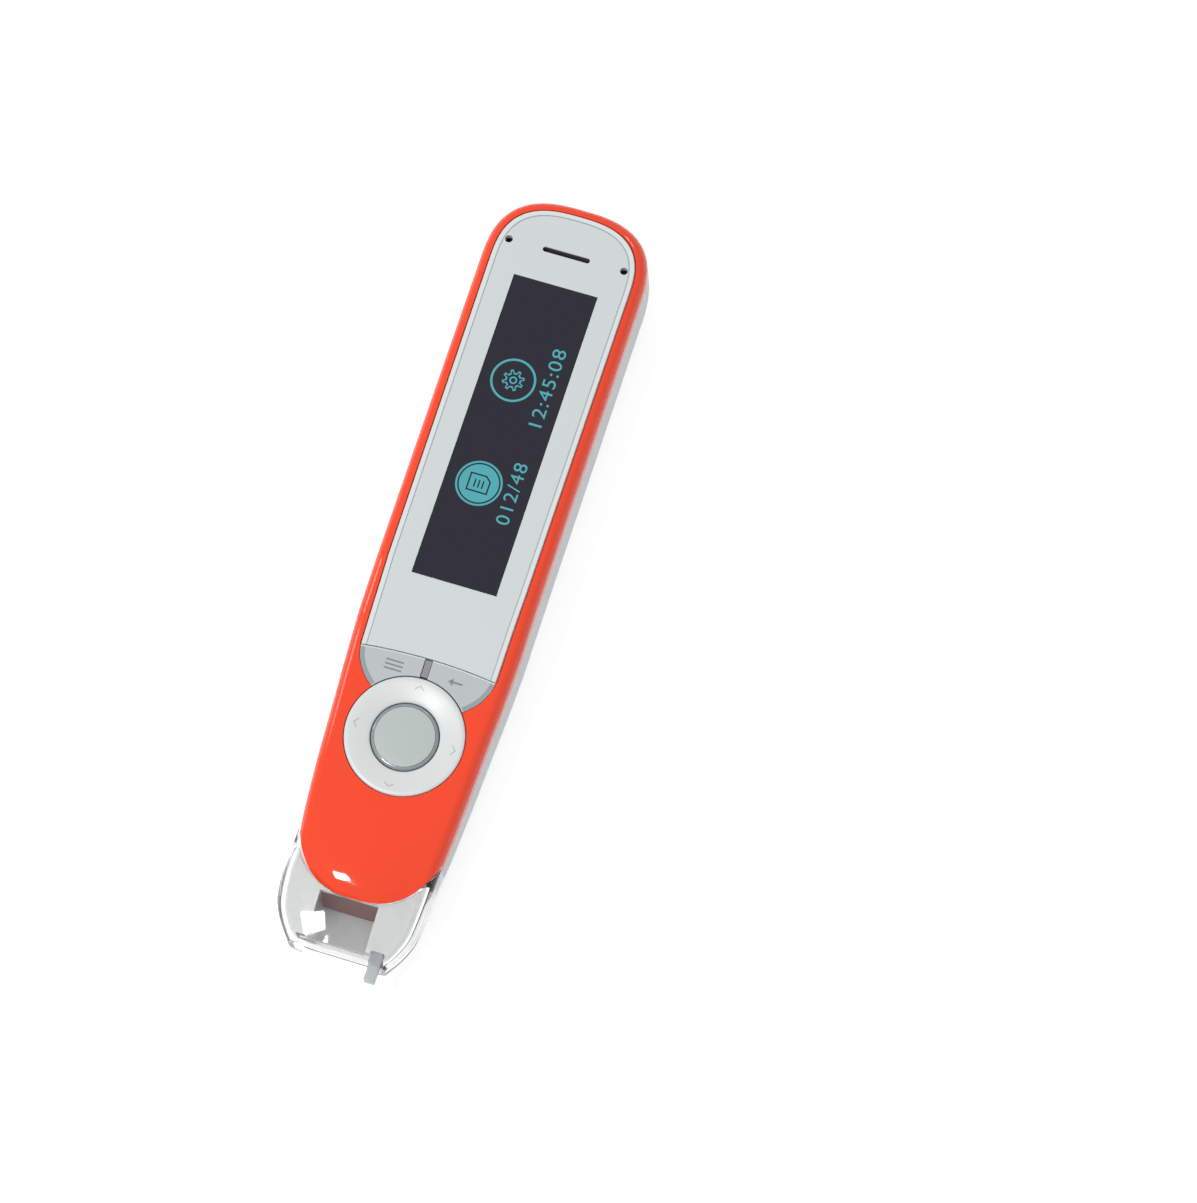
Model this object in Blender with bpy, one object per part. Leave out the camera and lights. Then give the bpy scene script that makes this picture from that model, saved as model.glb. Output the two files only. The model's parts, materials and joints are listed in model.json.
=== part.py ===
# Scanning pen: a hand-held text scanner with a display, a four-way key and a clear scanning tip.
# Metres, +Z up. The pen lies on its back: X across, +Y to the top end, +Z out of the display.

import math

import bmesh
import bpy
from mathutils import Vector

# Overall form
overall_length = 0.1339
body_half_width = 0.0140
shell_face_height = 0.0188
nib_reach = 0.0028
fit_gap = 0.0003
shell_wall = 0.0012
overrun = 0.0040

# Edges of the casing
shoulder_length = 0.0125
corner_fullness_share = 2.75
front_round_width = 0.0019
front_round_height = 0.0026
rear_round_width = 0.0054
rear_round_height_share = 0.55
seam_depth = 0.0032
crown_height = 0.0010
round_steps = 4
arc_steps = 9
row_pitch = 0.0036

# Places along the length, as shares of the body from the top end, with the value each has there
straight_share = 0.51
side_width_shares = ((0.585, 1.0), (0.646, 0.979), (0.706, 0.950), (0.767, 0.925), (0.835, 0.886),
                     (0.880, 0.848), (0.926, 0.823), (0.952, 0.797), (0.971, 0.736), (1.0, 0.574))
face_drop_shares = ((0.51, 0.0), (0.563, 0.026), (0.616, 0.066), (0.716, 0.124), (0.812, 0.179),
                    (0.880, 0.223), (0.926, 0.263), (1.0, 0.345))
back_rise_shares = ((0.0, 0.040), (0.07, 0.0), (0.63, 0.0), (0.72, 0.016), (0.835, 0.066),
                    (0.926, 0.119), (1.0, 0.190))
crown_shares = ((0.78, 0.0), (0.90, 1.0))
panel_width_shares = ((0.39, 1.0), (0.465, 0.992), (0.54, 0.971), (0.585, 0.963), (0.63, 0.955))

# Front panel and display
edge_band = 0.0019
display_border = 0.00485
display_top_margin = 0.0144
panel_from_top = 0.0015
panel_foot = 0.0129
panel_foot_arch = 0.0008
panel_thickness = 0.0012
panel_proud = 0.0002
ledge_width = 0.0013
ledge_thickness = 0.0008
frame_rim = 0.0015
slot_length = 0.0082
slot_width = 0.0009
slot_from_window = 0.0057
hole_inset = 0.0021
hole_radius = 0.00065

# Display module and its holder
module_margin = 0.0013
module_end_margin = 0.0019
module_thickness = 0.0020
holder_wall = 0.0010
ribbon_thickness = 0.0002
ribbon_width = 0.0100
ribbon_landing = 0.0022
key_ribbon_width = 0.0060
key_ribbon_landing = 0.0035

# Keys and the four-way ring
ring_from_end = 0.0363
ring_panel_room = 0.0034
ring_side_room = 0.0041
ring_width = 0.0042
ring_flange = 0.0010
ring_flange_thickness = 0.0008
ring_dish = 0.00045
ring_rim = 0.0007
rock_clearance = 0.0005
pad_clearance = 0.0004
pad_thickness = 0.0008
pad_nub = 0.0004
pad_nub_radius = 0.0011
switch_ring_inset = 0.00165
centre_gap = 0.00035
centre_flange = 0.0009
centre_flange_thickness = 0.0006
centre_sink = 0.0003
centre_crown = 0.00025
stem_radius = 0.0010
key_travel = 0.00035
dome_clearance = 0.00015
dome_height = 0.0005
dome_radius = 0.0015
key_side_inset = 0.0006
key_reach_step = 0.0007
key_cap_thickness = 0.0017
key_flange = 0.0008
key_flange_thickness = 0.0007
key_stem_spread = 0.0050
key_stem_setback = 0.0011
key_split = 0.0013
web_thickness = 0.0007
web_sink = 0.0004
key_board_inset = 0.0001
board_thickness = 0.0010

# Orange edge toward the tip, a lying arch
edge_from_end = 0.00885
edge_depth = 0.0202
edge_half_width_share = 0.943
edge_fullness_share = 2.5

# Tip: clear cover, forked hood, camera
hood_wall = 0.0010
hood_setback = 0.00175
hood_neck = 0.0151
notch_depth = 0.0074
notch_skew = 0.0011
foot_step = 0.0008
foot_length = 0.00095
baffle_thickness = 0.0004
window_thickness = 0.0010
camera_block_share = 0.636
camera_radius_share = 0.393
camera_block_length = 0.0040
camera_rise_share = 0.50
lens_glass_thickness = 0.0006
lamp_width = 0.0015
lamp_length = 0.0012
tip_board_thickness = 0.0008

# Trigger
nib_width = 0.0019
nib_height = 0.0020
nib_notch_gap = 0.0010
prong_wall = 0.0002
slide_gap = 0.00015
nib_shoulder = 0.0156
nib_window = 0.0022
nib_travel = 0.0015
tail_radius = 0.00045
tail_clearance = 0.00015
spring_radius = 0.00085
spring_wire_radius = 0.00013
spring_turns = 6
trigger_switch_width = 0.0028
trigger_switch_length = 0.0016

# Boards, battery, sockets
board_side_room = 0.0060
board_from_face = 0.0108
main_board_top_margin = 0.0030
board_foot_reach = 0.0109
battery_end_room = 0.0042
battery_side_room = 0.0002
battery_pad_thickness = 0.0005
rib_thickness = 0.0012
key_rib_inset = 0.0024
speaker_length = 0.0066
speaker_side_gap = 0.0019
speaker_thickness = 0.0026
microphone_radius = 0.0016
microphone_height = 0.0022
usb_width = 0.0075
usb_height = 0.0026
usb_length = 0.0056
usb_spread = 0.0042
usb_shell = 0.0003
usb_tongue = 0.0005
usb_mouth_depth = 0.0040
jack_width = 0.0062
jack_height = 0.0050
jack_length = 0.0100
jack_spread = 0.0046
jack_nose_radius = 0.0025
jack_nose_length = 0.0008
jack_bore_radius = 0.0018
jack_bore_depth = 0.0090
jack_end_from_top = 0.0019
chip_length = 0.0080
chip_thickness = 0.0009
chip_spread = 0.0070
battery_plug_length = 0.0030
battery_plug_width = 0.0040
battery_plug_height = 0.0016
edge_bevel = 0.0003

# Screws
screw_side_room = 0.0035
screw_above_window = 0.0007
screw_below_window = 0.0057
screw_head_radius = 0.0013
screw_head_height = 0.0011
screw_shank_radius = 0.0007
screw_bite = 0.0015
screw_well_depth = 0.0055
screw_boss_radius = 0.0021
boss_above_board = 0.0025
screw_post_radius = 0.00125

# Facets of round pieces
fine_segments = 48
round_segments = 32
small_segments = 16
half_step = 1 / 2
wire_rounding = 1
spring_turn_steps = 9

# Places worked out from the sizes above
body_length = overall_length - nib_reach
top_y = overall_length / 2
end_y = top_y - body_length
shoulder_y = top_y - shoulder_length
panel_half_width = body_half_width - edge_band
ring_radius = body_half_width - ring_side_room
ring_hole_radius = ring_radius - ring_width
switch_ring_radius = ring_radius - switch_ring_inset
centre_radius = ring_hole_radius - centre_gap
ring_y = end_y + ring_from_end
ring_from_panel = ring_radius + ring_panel_room
panel_bottom_y = ring_y + ring_from_panel
window_foot_y = panel_bottom_y + panel_foot
window_top_y = top_y - display_top_margin
display_y = (window_top_y + window_foot_y) / 2
display_length = window_top_y - window_foot_y
display_width = 2 * (panel_half_width - display_border)
slot_y = window_top_y + slot_from_window
hole_spread = panel_half_width - hole_inset
key_half_width = panel_half_width - key_side_inset
key_reach = ring_radius - key_reach_step
key_board_half_width = ring_radius - key_board_inset
key_rib_spread = ring_radius - key_rib_inset
panel_face_height = shell_face_height + panel_proud
edge_y = end_y + edge_from_end
edge_centre_y = edge_y + edge_depth
edge_half_width = body_half_width * edge_half_width_share
recess_depth = panel_thickness + fit_gap - panel_proud
ceiling_depth = recess_depth + ledge_thickness
hood_inset = shell_wall + fit_gap
hood_end_y = end_y + hood_setback
hood_top_y = edge_y + hood_neck
notch_y = hood_end_y + notch_depth
board_half_width = body_half_width - board_side_room
main_board_height = shell_face_height - board_from_face
main_board_foot_y = window_foot_y - board_foot_reach
battery_half_width = board_half_width - battery_side_room
battery_length = display_length - battery_end_room
speaker_width = 2 * (hole_spread - microphone_radius - speaker_side_gap)
screw_spread = body_half_width - screw_side_room
screw_boss_height = main_board_height + boss_above_board
screw_top = screw_boss_height + screw_bite

body_plan = {"half_width": body_half_width, "shoulder": shoulder_length, "shares": side_width_shares}
panel_plan = {"half_width": panel_half_width, "shoulder": shoulder_length - panel_from_top,
              "shares": panel_width_shares}


# Smooth profiles along the pen

def share_at(y):
    return (top_y - y) / body_length


def table_slopes(table):
    steps = [(b[1] - a[1]) / (b[0] - a[0]) for a, b in zip(table, table[1:])]
    slopes = [steps[0]]
    for before, after in zip(steps, steps[1:]):
        if before * after <= 0:
            slopes.append(0.0)
        else:
            slopes.append(2 * before * after / (before + after))
    slopes.append(steps[-1])
    return slopes


def smooth_value(table, place):
    if place <= table[0][0]:
        return table[0][1]
    if place >= table[-1][0]:
        return table[-1][1]
    slopes = table_slopes(table)
    for i, (low, high) in enumerate(zip(table, table[1:])):
        if place <= high[0]:
            span = high[0] - low[0]
            t = (place - low[0]) / span
            rise = slopes[i] * span
            fall = slopes[i + 1] * span
            return (low[1] * (2 * t ** 3 - 3 * t ** 2 + 1) + rise * (t ** 3 - 2 * t ** 2 + t)
                    + high[1] * (3 * t ** 2 - 2 * t ** 3) + fall * (t ** 3 - t ** 2))


def shell_face(y):
    return shell_face_height * (1 - smooth_value(face_drop_shares, share_at(y)))


def shell_back(y):
    return shell_face_height * smooth_value(back_rise_shares, share_at(y))


def crown_at(y):
    return crown_height * smooth_value(crown_shares, share_at(y))


def seam_height(y):
    return shell_face(y) - crown_at(y) - seam_depth


def plan_half_width(plan, y, inset=0.0):
    if y <= shoulder_y:
        return plan["half_width"] * smooth_value(plan["shares"], share_at(y)) - inset
    rise = (y - shoulder_y) / (plan["shoulder"] - inset)
    if rise >= 1:
        return 0.0
    return (plan["half_width"] - inset) * (1 - rise ** corner_fullness_share) ** (1 / corner_fullness_share)


def crowned_face(x, y):
    return shell_face(y) - crown_at(y) * (x / plan_half_width(body_plan, min(y, shoulder_y))) ** 2


# Rows of an outline, from the top end to the tip, as (half width, y)

def outline_rows(plan, inset, low_y, high_y):
    rows = []
    if high_y is None:
        bend = 2 / corner_fullness_share
        for step in range(arc_steps):
            turn = math.pi / 2 * step / arc_steps
            across = (plan["half_width"] - inset) * math.sin(turn) ** bend
            rows.append((across, shoulder_y + (plan["shoulder"] - inset) * math.cos(turn) ** bend))
        rows.append((plan_half_width(plan, shoulder_y, inset), shoulder_y))
        start_y = top_y - straight_share * body_length
    else:
        start_y = high_y
    count = max(1, round((start_y - low_y) / row_pitch))
    for step in range(count + 1):
        y = start_y + (low_y - start_y) * step / count
        rows.append((plan_half_width(plan, y, inset), y))
    return rows


# Objects, materials and the joining and cutting of pieces

def clear_scene():
    for thing in list(bpy.data.objects):
        bpy.data.objects.remove(thing, do_unlink=True)


def make_material(name, colour, roughness, metallic=0.0, alpha=1.0):
    finish = bpy.data.materials.new(name)
    finish.use_nodes = True
    shader = finish.node_tree.nodes["Principled BSDF"]
    shader.inputs["Base Color"].default_value = (*colour, 1.0)
    shader.inputs["Roughness"].default_value = roughness
    shader.inputs["Metallic"].default_value = metallic
    shader.inputs["Alpha"].default_value = alpha
    finish.diffuse_color = (*colour, alpha)
    return finish


def add_piece(name, mesh_data, finish=None, parent=None):
    bmesh.ops.remove_doubles(mesh_data, verts=mesh_data.verts, dist=fit_gap / 1000)
    bmesh.ops.recalc_face_normals(mesh_data, faces=mesh_data.faces)
    mesh = bpy.data.meshes.new(name)
    mesh_data.to_mesh(mesh)
    mesh_data.free()
    mesh.shade_smooth()
    mesh.set_sharp_from_angle(angle=math.radians(35))
    thing = bpy.data.objects.new(name, mesh)
    bpy.context.scene.collection.objects.link(thing)
    if finish is not None:
        mesh.materials.append(finish)
    if parent is not None:
        thing.parent = parent
    return thing


def add_guide(name, mesh_data, parent=None):
    guide = add_piece(name, mesh_data, parent=parent)
    guide.hide_render = True
    guide.display_type = "WIRE"
    return guide


def combine(target, tool, operation):
    change = target.modifiers.new(tool.name, "BOOLEAN")
    change.operation = operation
    change.solver = "EXACT"
    change.object = tool


def cut(target, *tools):
    for tool in tools:
        combine(target, tool, "DIFFERENCE")


def fuse(target, *tools):
    for tool in tools:
        combine(target, tool, "UNION")


def round_edges(target, width, segments=2):
    bevel = target.modifiers.new("edge", "BEVEL")
    bevel.width = width
    bevel.segments = segments
    bevel.limit_method = "ANGLE"
    bevel.angle_limit = math.radians(40)


# Forms: a stack of outlines, a prism, a turned piece, a block

def stack_form(plan, rings, low_y, high_y=None, column_shares=()):
    form = bmesh.new()
    loops = []
    for inset, height in rings:
        rows = outline_rows(plan, inset, low_y, high_y)
        pole = []
        if high_y is None:
            pole = [form.verts.new((0.0, rows[0][1], height(0.0, rows[0][1])))]
            rows = rows[1:]
        right = [form.verts.new((x, y, height(x, y))) for x, y in rows]
        left = [form.verts.new((-x, y, height(x, y))) for x, y in rows]
        loops.append((pole, right, left))
    pole, right, left = loops[-1]
    top_height = rings[-1][1]
    grid = []
    for a, b in zip(left, right):
        between = []
        for share in column_shares:
            x = b.co.x * share
            between.append(form.verts.new((x, b.co.y, top_height(x, b.co.y))))
        grid.append([a] + between + [b])
    for upper, lower in zip(grid, grid[1:]):
        for i in range(len(upper) - 1):
            form.faces.new((upper[i], lower[i], lower[i + 1], upper[i + 1]))
    if pole:
        for a, b in zip(grid[0], grid[0][1:]):
            form.faces.new((pole[0], a, b))
    base_pole, base_right, base_left = loops[0]
    for i in range(len(base_right) - 1):
        form.faces.new((base_left[i], base_right[i], base_right[i + 1], base_left[i + 1]))
    if base_pole:
        form.faces.new((base_pole[0], base_right[0], base_left[0]))
    for number, (lower, upper) in enumerate(zip(loops, loops[1:])):
        last = number == len(loops) - 2
        for side in (1, 2):
            for i in range(len(lower[side]) - 1):
                form.faces.new((lower[side][i], lower[side][i + 1], upper[side][i + 1], upper[side][i]))
            if pole:
                form.faces.new((lower[0][0], lower[side][0], upper[side][0], upper[0][0]))
        foot = grid[-1] if last else [upper[2][-1], upper[1][-1]]
        form.faces.new(foot + [lower[1][-1], lower[2][-1]])
        if not pole:
            head = grid[0] if last else [upper[2][0], upper[1][0]]
            form.faces.new(head + [lower[1][0], lower[2][0]])
    return form


def front_rings(inset, depth, crown=True):
    # Quarter ellipse from the casing's side up to its face
    rings = []
    across = max(front_round_width - inset, fit_gap)
    down = max(front_round_height - depth, fit_gap)
    for step in range(round_steps + 1):
        turn = math.pi / 2 * step / round_steps
        side = inset + across * (1 - math.cos(turn))
        drop = depth + down * (1 - math.sin(turn))
        face = crowned_face if crown else (lambda x, y: shell_face(y))
        rings.append((side, lambda x, y, face=face, drop=drop: face(x, y) - drop))
    return rings


def rear_rings(inset, depth):
    # Quarter ellipse from the flat back up to the casing's side
    rings = []
    across = rear_round_width - inset / 2
    for step in range(round_steps + 1):
        turn = math.pi / 2 * (1 - step / round_steps)
        side = inset + across * (1 - math.cos(turn))
        lift_share = rear_round_height_share * (1 - math.sin(turn))

        def height(x, y, lift_share=lift_share):
            low = shell_back(y) + depth
            return low + (seam_height(y) - low) * lift_share
        rings.append((side, height))
    return rings


def level_ring(inset, height):
    return [(inset, lambda x, y: height(y))]


def prism(points, low_z, high_z):
    form = bmesh.new()
    base = form.faces.new([form.verts.new((x, y, low_z)) for x, y in points])
    raised = bmesh.ops.extrude_face_region(form, geom=[base])
    moved = [item for item in raised["geom"] if isinstance(item, bmesh.types.BMVert)]
    bmesh.ops.translate(form, verts=moved, vec=Vector((0, 0, high_z - low_z)))
    return form


def block(low, high):
    outline = ((low[0], low[1]), (high[0], low[1]), (high[0], high[1]), (low[0], high[1]))
    return prism(outline, low[2], high[2])


def side_prism(points, low_x, high_x):
    # Outline of (y, z) points, drawn out across X
    form = bmesh.new()
    base = form.faces.new([form.verts.new((low_x, y, z)) for y, z in points])
    raised = bmesh.ops.extrude_face_region(form, geom=[base])
    moved = [item for item in raised["geom"] if isinstance(item, bmesh.types.BMVert)]
    bmesh.ops.translate(form, verts=moved, vec=Vector((high_x - low_x, 0, 0)))
    return form


def turned(profile, segments, centre=(0.0, 0.0), lead=0):
    # Closed profile of (radius, z) rows, turned about a line along Z and started lead steps round
    form = bmesh.new()
    rings = []
    for radius, z in profile:
        if radius == 0:
            rings.append([form.verts.new((centre[0], centre[1], z))])
            continue
        ring = []
        for i in range(segments):
            turn = 2 * math.pi * (i + lead) / segments
            ring.append(form.verts.new((centre[0] + radius * math.cos(turn),
                                        centre[1] + radius * math.sin(turn), z)))
        rings.append(ring)
    closed = len(rings[0]) > 1
    pairs = list(zip(rings, rings[1:]))
    if closed:
        pairs.append((rings[-1], rings[0]))
    for lower, upper in pairs:
        for i in range(segments):
            j = (i + 1) % segments
            corners = [lower[i % len(lower)], lower[j % len(lower)],
                       upper[j % len(upper)], upper[i % len(upper)]]
            form.faces.new(list(dict.fromkeys(corners)))
    return form


def disc(radius, low_z, high_z, segments, centre=(0.0, 0.0)):
    return turned(((0.0, low_z), (radius, low_z), (radius, high_z), (0.0, high_z)), segments, centre)


def lay_along_y(form, centre, start_y):
    # Turns a form made along Z so that it runs along +Y from start_y, about the line (x, z) = centre
    for vert in form.verts:
        x, y, z = vert.co
        vert.co = (centre[0] + x, start_y + z, centre[1] - y)
    return form


def lower_arch(half_width, depth, steps=16):
    # The lying arch of the orange edge, from its left end to its right end
    points = []
    bend = 2 / edge_fullness_share
    for step in range(steps + 1):
        turn = math.pi * step / steps
        x = -half_width * math.copysign(abs(math.cos(turn)) ** bend, math.cos(turn))
        points.append((x, edge_centre_y - depth * math.sin(turn) ** bend))
    return points


def panel_sag(x):
    return panel_foot_arch * (x / panel_half_width) ** 2


def panel_foot_arc(steps=8):
    # Bottom edge of the panel, slightly arched, from the left to the right
    points = []
    for step in range(steps + 1):
        x = body_half_width * (2 * step / steps - 1)
        points.append((x, panel_bottom_y - panel_sag(x)))
    return points


clear_scene()

orange = make_material("orange_gloss", (0.90, 0.075, 0.025), 0.18)
white = make_material("white_gloss", (0.80, 0.81, 0.81), 0.25)
panel_white = make_material("panel_white", (0.66, 0.70, 0.71), 0.20)
key_grey = make_material("key_grey", (0.60, 0.64, 0.64), 0.35)
ring_white = make_material("ring_white", (0.82, 0.84, 0.84), 0.35)
button_clear = make_material("button_clear", (0.55, 0.62, 0.60), 0.20, alpha=0.9)
clear = make_material("clear_plastic", (0.85, 0.88, 0.90), 0.05, alpha=0.25)
smoked = make_material("smoked_plastic", (0.12, 0.06, 0.05), 0.10, alpha=0.8)
nib_grey = make_material("nib_grey", (0.50, 0.54, 0.54), 0.30, alpha=0.9)
window_dark = make_material("window_dark", (0.03, 0.03, 0.05), 0.08)
glass_dark = make_material("display_glass", (0.01, 0.01, 0.015), 0.10)
inner_grey = make_material("inner_grey", (0.10, 0.10, 0.11), 0.50)
rubber = make_material("silicone", (0.30, 0.31, 0.31), 0.60)
foam = make_material("foam", (0.03, 0.03, 0.03), 0.90)
board_green = make_material("board_green", (0.02, 0.14, 0.06), 0.45)
chip_black = make_material("chip_black", (0.02, 0.02, 0.02), 0.40)
metal = make_material("bright_metal", (0.66, 0.66, 0.67), 0.25, metallic=1.0)
spring_steel = make_material("spring_steel", (0.55, 0.55, 0.56), 0.22, metallic=1.0)
copper_ribbon = make_material("ribbon", (0.50, 0.22, 0.04), 0.35)
battery_silver = make_material("battery_foil", (0.55, 0.56, 0.58), 0.35)
lamp_white = make_material("lamp", (0.85, 0.80, 0.60), 0.20)


# The plane that the keys lie in, tilted with the casing's face

key_plane = bpy.data.objects.new("key_plane", None)
bpy.context.scene.collection.objects.link(key_plane)
key_tilt = math.atan2(shell_face(ring_y + ring_radius) - shell_face(ring_y - ring_radius), 2 * ring_radius)
key_plane.location = (0, ring_y, shell_face(ring_y))
key_plane.rotation_euler = (key_tilt, 0, 0)


# Heights in the key plane, counted from the casing's face
flange_top_z = -(ceiling_depth + rock_clearance)
ring_bottom_z = flange_top_z - ring_flange_thickness
pad_top_z = ring_bottom_z - pad_clearance
pad_bottom_z = pad_top_z - pad_thickness
nub_z = pad_bottom_z - pad_nub
dome_top_z = nub_z - key_travel - dome_clearance
key_board_z = dome_top_z - dome_height
panel_foot_local = ring_from_panel - fit_gap


def key_outline(side, margin, foot_gap, inner):
    # One key seen from the front: along the panel's foot, then round the outer quarter ellipse to the split
    reach = key_half_width + margin
    depth = key_reach + margin
    first = math.asin((foot_gap + panel_sag(reach)) / depth)
    last = math.acos(inner / reach)
    points = []
    for step in range(round_steps):
        x = inner + (reach * math.cos(first) - inner) * step / round_steps
        points.append((side * x, ring_from_panel - foot_gap - panel_sag(x)))
    for step in range(round_steps * 2 + 1):
        turn = first + (last - first) * step / (round_steps * 2)
        points.append((side * reach * math.cos(turn), ring_from_panel - depth * math.sin(turn)))
    return points


def key_opening():
    right = key_outline(1, fit_gap, -fit_gap, 0.0)
    left = key_outline(-1, fit_gap, -fit_gap, 0.0)
    return right + left[-2:0:-1]


def screw_places():
    for side in (-1, 1):
        for y in (window_top_y + screw_above_window, window_foot_y - screw_below_window):
            yield side * screw_spread, y


# Front frame: a shallow tray with the panel's recess, the keys' opening and the ring's hole

def edge_cutter(name):
    reach = body_half_width + overrun
    points = [(-reach, edge_centre_y)] + lower_arch(edge_half_width, edge_depth)
    points += [(reach, edge_centre_y), (reach, end_y - overrun), (-reach, end_y - overrun)]
    return add_guide(name, prism(points, -overrun, shell_face_height + overrun))


def make_front_frame():
    low_y = end_y + overrun
    rings = level_ring(0.0, seam_height) + front_rings(0.0, 0.0)
    form = stack_form(body_plan, rings, low_y, column_shares=(-0.5, 0.0, 0.5))
    frame = add_piece("front_frame", form, orange)

    recess = level_ring(-fit_gap, lambda y: shell_face(y) - recess_depth)
    recess += level_ring(-fit_gap, lambda y: shell_face(y) + overrun)
    recess_foot_y = panel_bottom_y - panel_foot_arch - fit_gap
    recess_guide = add_guide("recess_cutter", stack_form(panel_plan, recess, recess_foot_y))

    opening = level_ring(ledge_width, lambda y: seam_height(y) - overrun)
    opening += level_ring(ledge_width, lambda y: shell_face(y) + overrun)
    opening_guide = add_guide("opening_cutter", stack_form(panel_plan, opening, panel_bottom_y))

    cavity = level_ring(frame_rim, lambda y: seam_height(y) - overrun)
    cavity += level_ring(frame_rim, lambda y: shell_face(y) - ceiling_depth)
    cavity_guide = add_guide("frame_cavity", stack_form(body_plan, cavity, hood_top_y))

    tip = level_ring(shell_wall, lambda y: seam_height(y) - overrun) + front_rings(shell_wall, shell_wall)
    tip_form = stack_form(body_plan, tip, low_y - overrun, hood_top_y + fit_gap, column_shares=(0.0,))
    tip_guide = add_guide("frame_tip_cavity", tip_form)

    hole = disc(ring_radius + fit_gap, -overrun, overrun, fine_segments)
    hole_guide = add_guide("ring_hole_cutter", hole, key_plane)
    keys = prism(key_opening(), -overrun, overrun)
    keys_guide = add_guide("key_opening_cutter", keys, key_plane)

    cut(frame, recess_guide, opening_guide, cavity_guide, tip_guide, hole_guide, keys_guide)
    cut(frame, edge_cutter("frame_edge_cutter"))
    for number, (x, y) in enumerate(screw_places()):
        base = screw_boss_height + fit_gap
        top = shell_face(y) - ceiling_depth + ledge_thickness / 2
        post = disc(screw_post_radius, base, top, small_segments, (x, y))
        fuse(frame, add_guide(f"post_{number}", post))
        pilot = disc(screw_shank_radius + fit_gap / 4, base - overrun, screw_top + fit_gap * 2,
                     small_segments // 2, (x, y))
        cut(frame, add_guide(f"pilot_{number}", pilot))


# Rear shell: the deep tray, with ribs, screw bosses and the sockets' openings

def make_rear_shell():
    low_y = end_y + overrun
    seam = level_ring(0.0, lambda y: seam_height(y) - fit_gap)
    shell = add_piece("rear_shell", stack_form(body_plan, rear_rings(0.0, 0.0) + seam, low_y), white)
    cavity = rear_rings(shell_wall, shell_wall)
    cavity += level_ring(shell_wall, lambda y: seam_height(y) + overrun)
    cut(shell, add_guide("shell_cavity", stack_form(body_plan, cavity, low_y - overrun)))

    # Ribs and bosses end in the middle of the wall, whatever its curve
    half_wall = shell_wall / 2
    core = rear_rings(half_wall, half_wall) + level_ring(half_wall, lambda y: seam_height(y) - half_wall)
    core_guide = add_guide("shell_core", stack_form(body_plan, core, low_y))
    inside = []
    for name, side in (("battery_rib_top", 1), ("battery_rib_foot", -1)):
        y = display_y + side * (battery_length / 2 + fit_gap + rib_thickness / 2)
        rib = block((-body_half_width, y - rib_thickness / 2, -overrun),
                    (body_half_width, y + rib_thickness / 2, main_board_height - fit_gap))
        inside.append(add_guide(name, rib))
    for name, side in (("key_rib_top", 1), ("key_rib_foot", -1)):
        y = side * key_rib_spread
        rib = block((-body_half_width, y - rib_thickness / 2, -shell_face_height),
                    (body_half_width, y + rib_thickness / 2, key_board_z - board_thickness - fit_gap))
        inside.append(add_guide(name, rib, key_plane))
    for number, (x, y) in enumerate(screw_places()):
        boss = disc(screw_boss_radius, -overrun, screw_boss_height, round_segments // 2, (x, y))
        inside.append(add_guide(f"boss_{number}", boss))
    for support in inside:
        combine(support, core_guide, "INTERSECT")
        fuse(shell, support)
    for number, (x, y) in enumerate(screw_places()):
        wide = screw_head_radius + fit_gap
        narrow = screw_shank_radius + fit_gap / 2
        high = screw_boss_height + overrun
        well = turned(((0.0, -overrun), (wide, -overrun),
                       (wide, screw_well_depth), (narrow, screw_well_depth),
                       (narrow, high), (0.0, high)), small_segments, (x, y), half_step)
        cut(shell, add_guide(f"well_{number}", well))

    usb_low = main_board_height + board_thickness + fit_gap
    mouth = block((-usb_spread - usb_width / 2 - fit_gap, shoulder_y, usb_low - fit_gap),
                  (-usb_spread + usb_width / 2 + fit_gap, top_y + overrun, usb_low + usb_height + fit_gap))
    jack = disc(jack_nose_radius + fit_gap, 0.0, shoulder_length + overrun, round_segments)
    jack = lay_along_y(jack, (jack_spread, usb_low + jack_height / 2), shoulder_y)
    cut(shell, add_guide("usb_opening", mouth), add_guide("jack_opening", jack))
    cut(shell, edge_cutter("shell_edge_cutter"))


# Front panel and display window

def make_front_panel():
    rings = level_ring(0.0, lambda y: shell_face(y) + panel_proud - panel_thickness)
    rings += level_ring(0.0, lambda y: shell_face(y) + panel_proud - edge_bevel / 2)
    rings += level_ring(edge_bevel / 2, lambda y: shell_face(y) + panel_proud)
    panel = add_piece("front_panel", stack_form(panel_plan, rings, panel_bottom_y - key_reach), panel_white)
    foot = panel_foot_arc() + [(body_half_width, panel_bottom_y - key_reach - overrun),
                                  (-body_half_width, panel_bottom_y - key_reach - overrun)]
    cut(panel, add_guide("panel_foot_cutter", prism(foot, 0.0, shell_face_height + overrun)))
    low = seam_height(display_y)
    high = shell_face_height + overrun
    window = block((-display_width / 2 - fit_gap, window_foot_y - fit_gap, low),
                   (display_width / 2 + fit_gap, window_top_y + fit_gap, high))
    cut(panel, add_guide("window_cutter", window))
    slot = []
    for step in range(round_steps * 2 + 2):
        turn = math.pi * step / (round_steps * 2 + 1) * 2 - math.pi / 2
        reach = math.copysign(slot_length / 2 - slot_width / 2, math.cos(turn))
        slot.append((reach + slot_width / 2 * math.cos(turn), slot_y + slot_width / 2 * math.sin(turn)))
    cut(panel, add_guide("slot_cutter", prism(slot, low, high)))
    for side, word in ((-1, "left"), (1, "right")):
        hole = disc(hole_radius, low, high, small_segments, (side * hole_spread, slot_y))
        cut(panel, add_guide(f"hole_{word}", hole))


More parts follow.
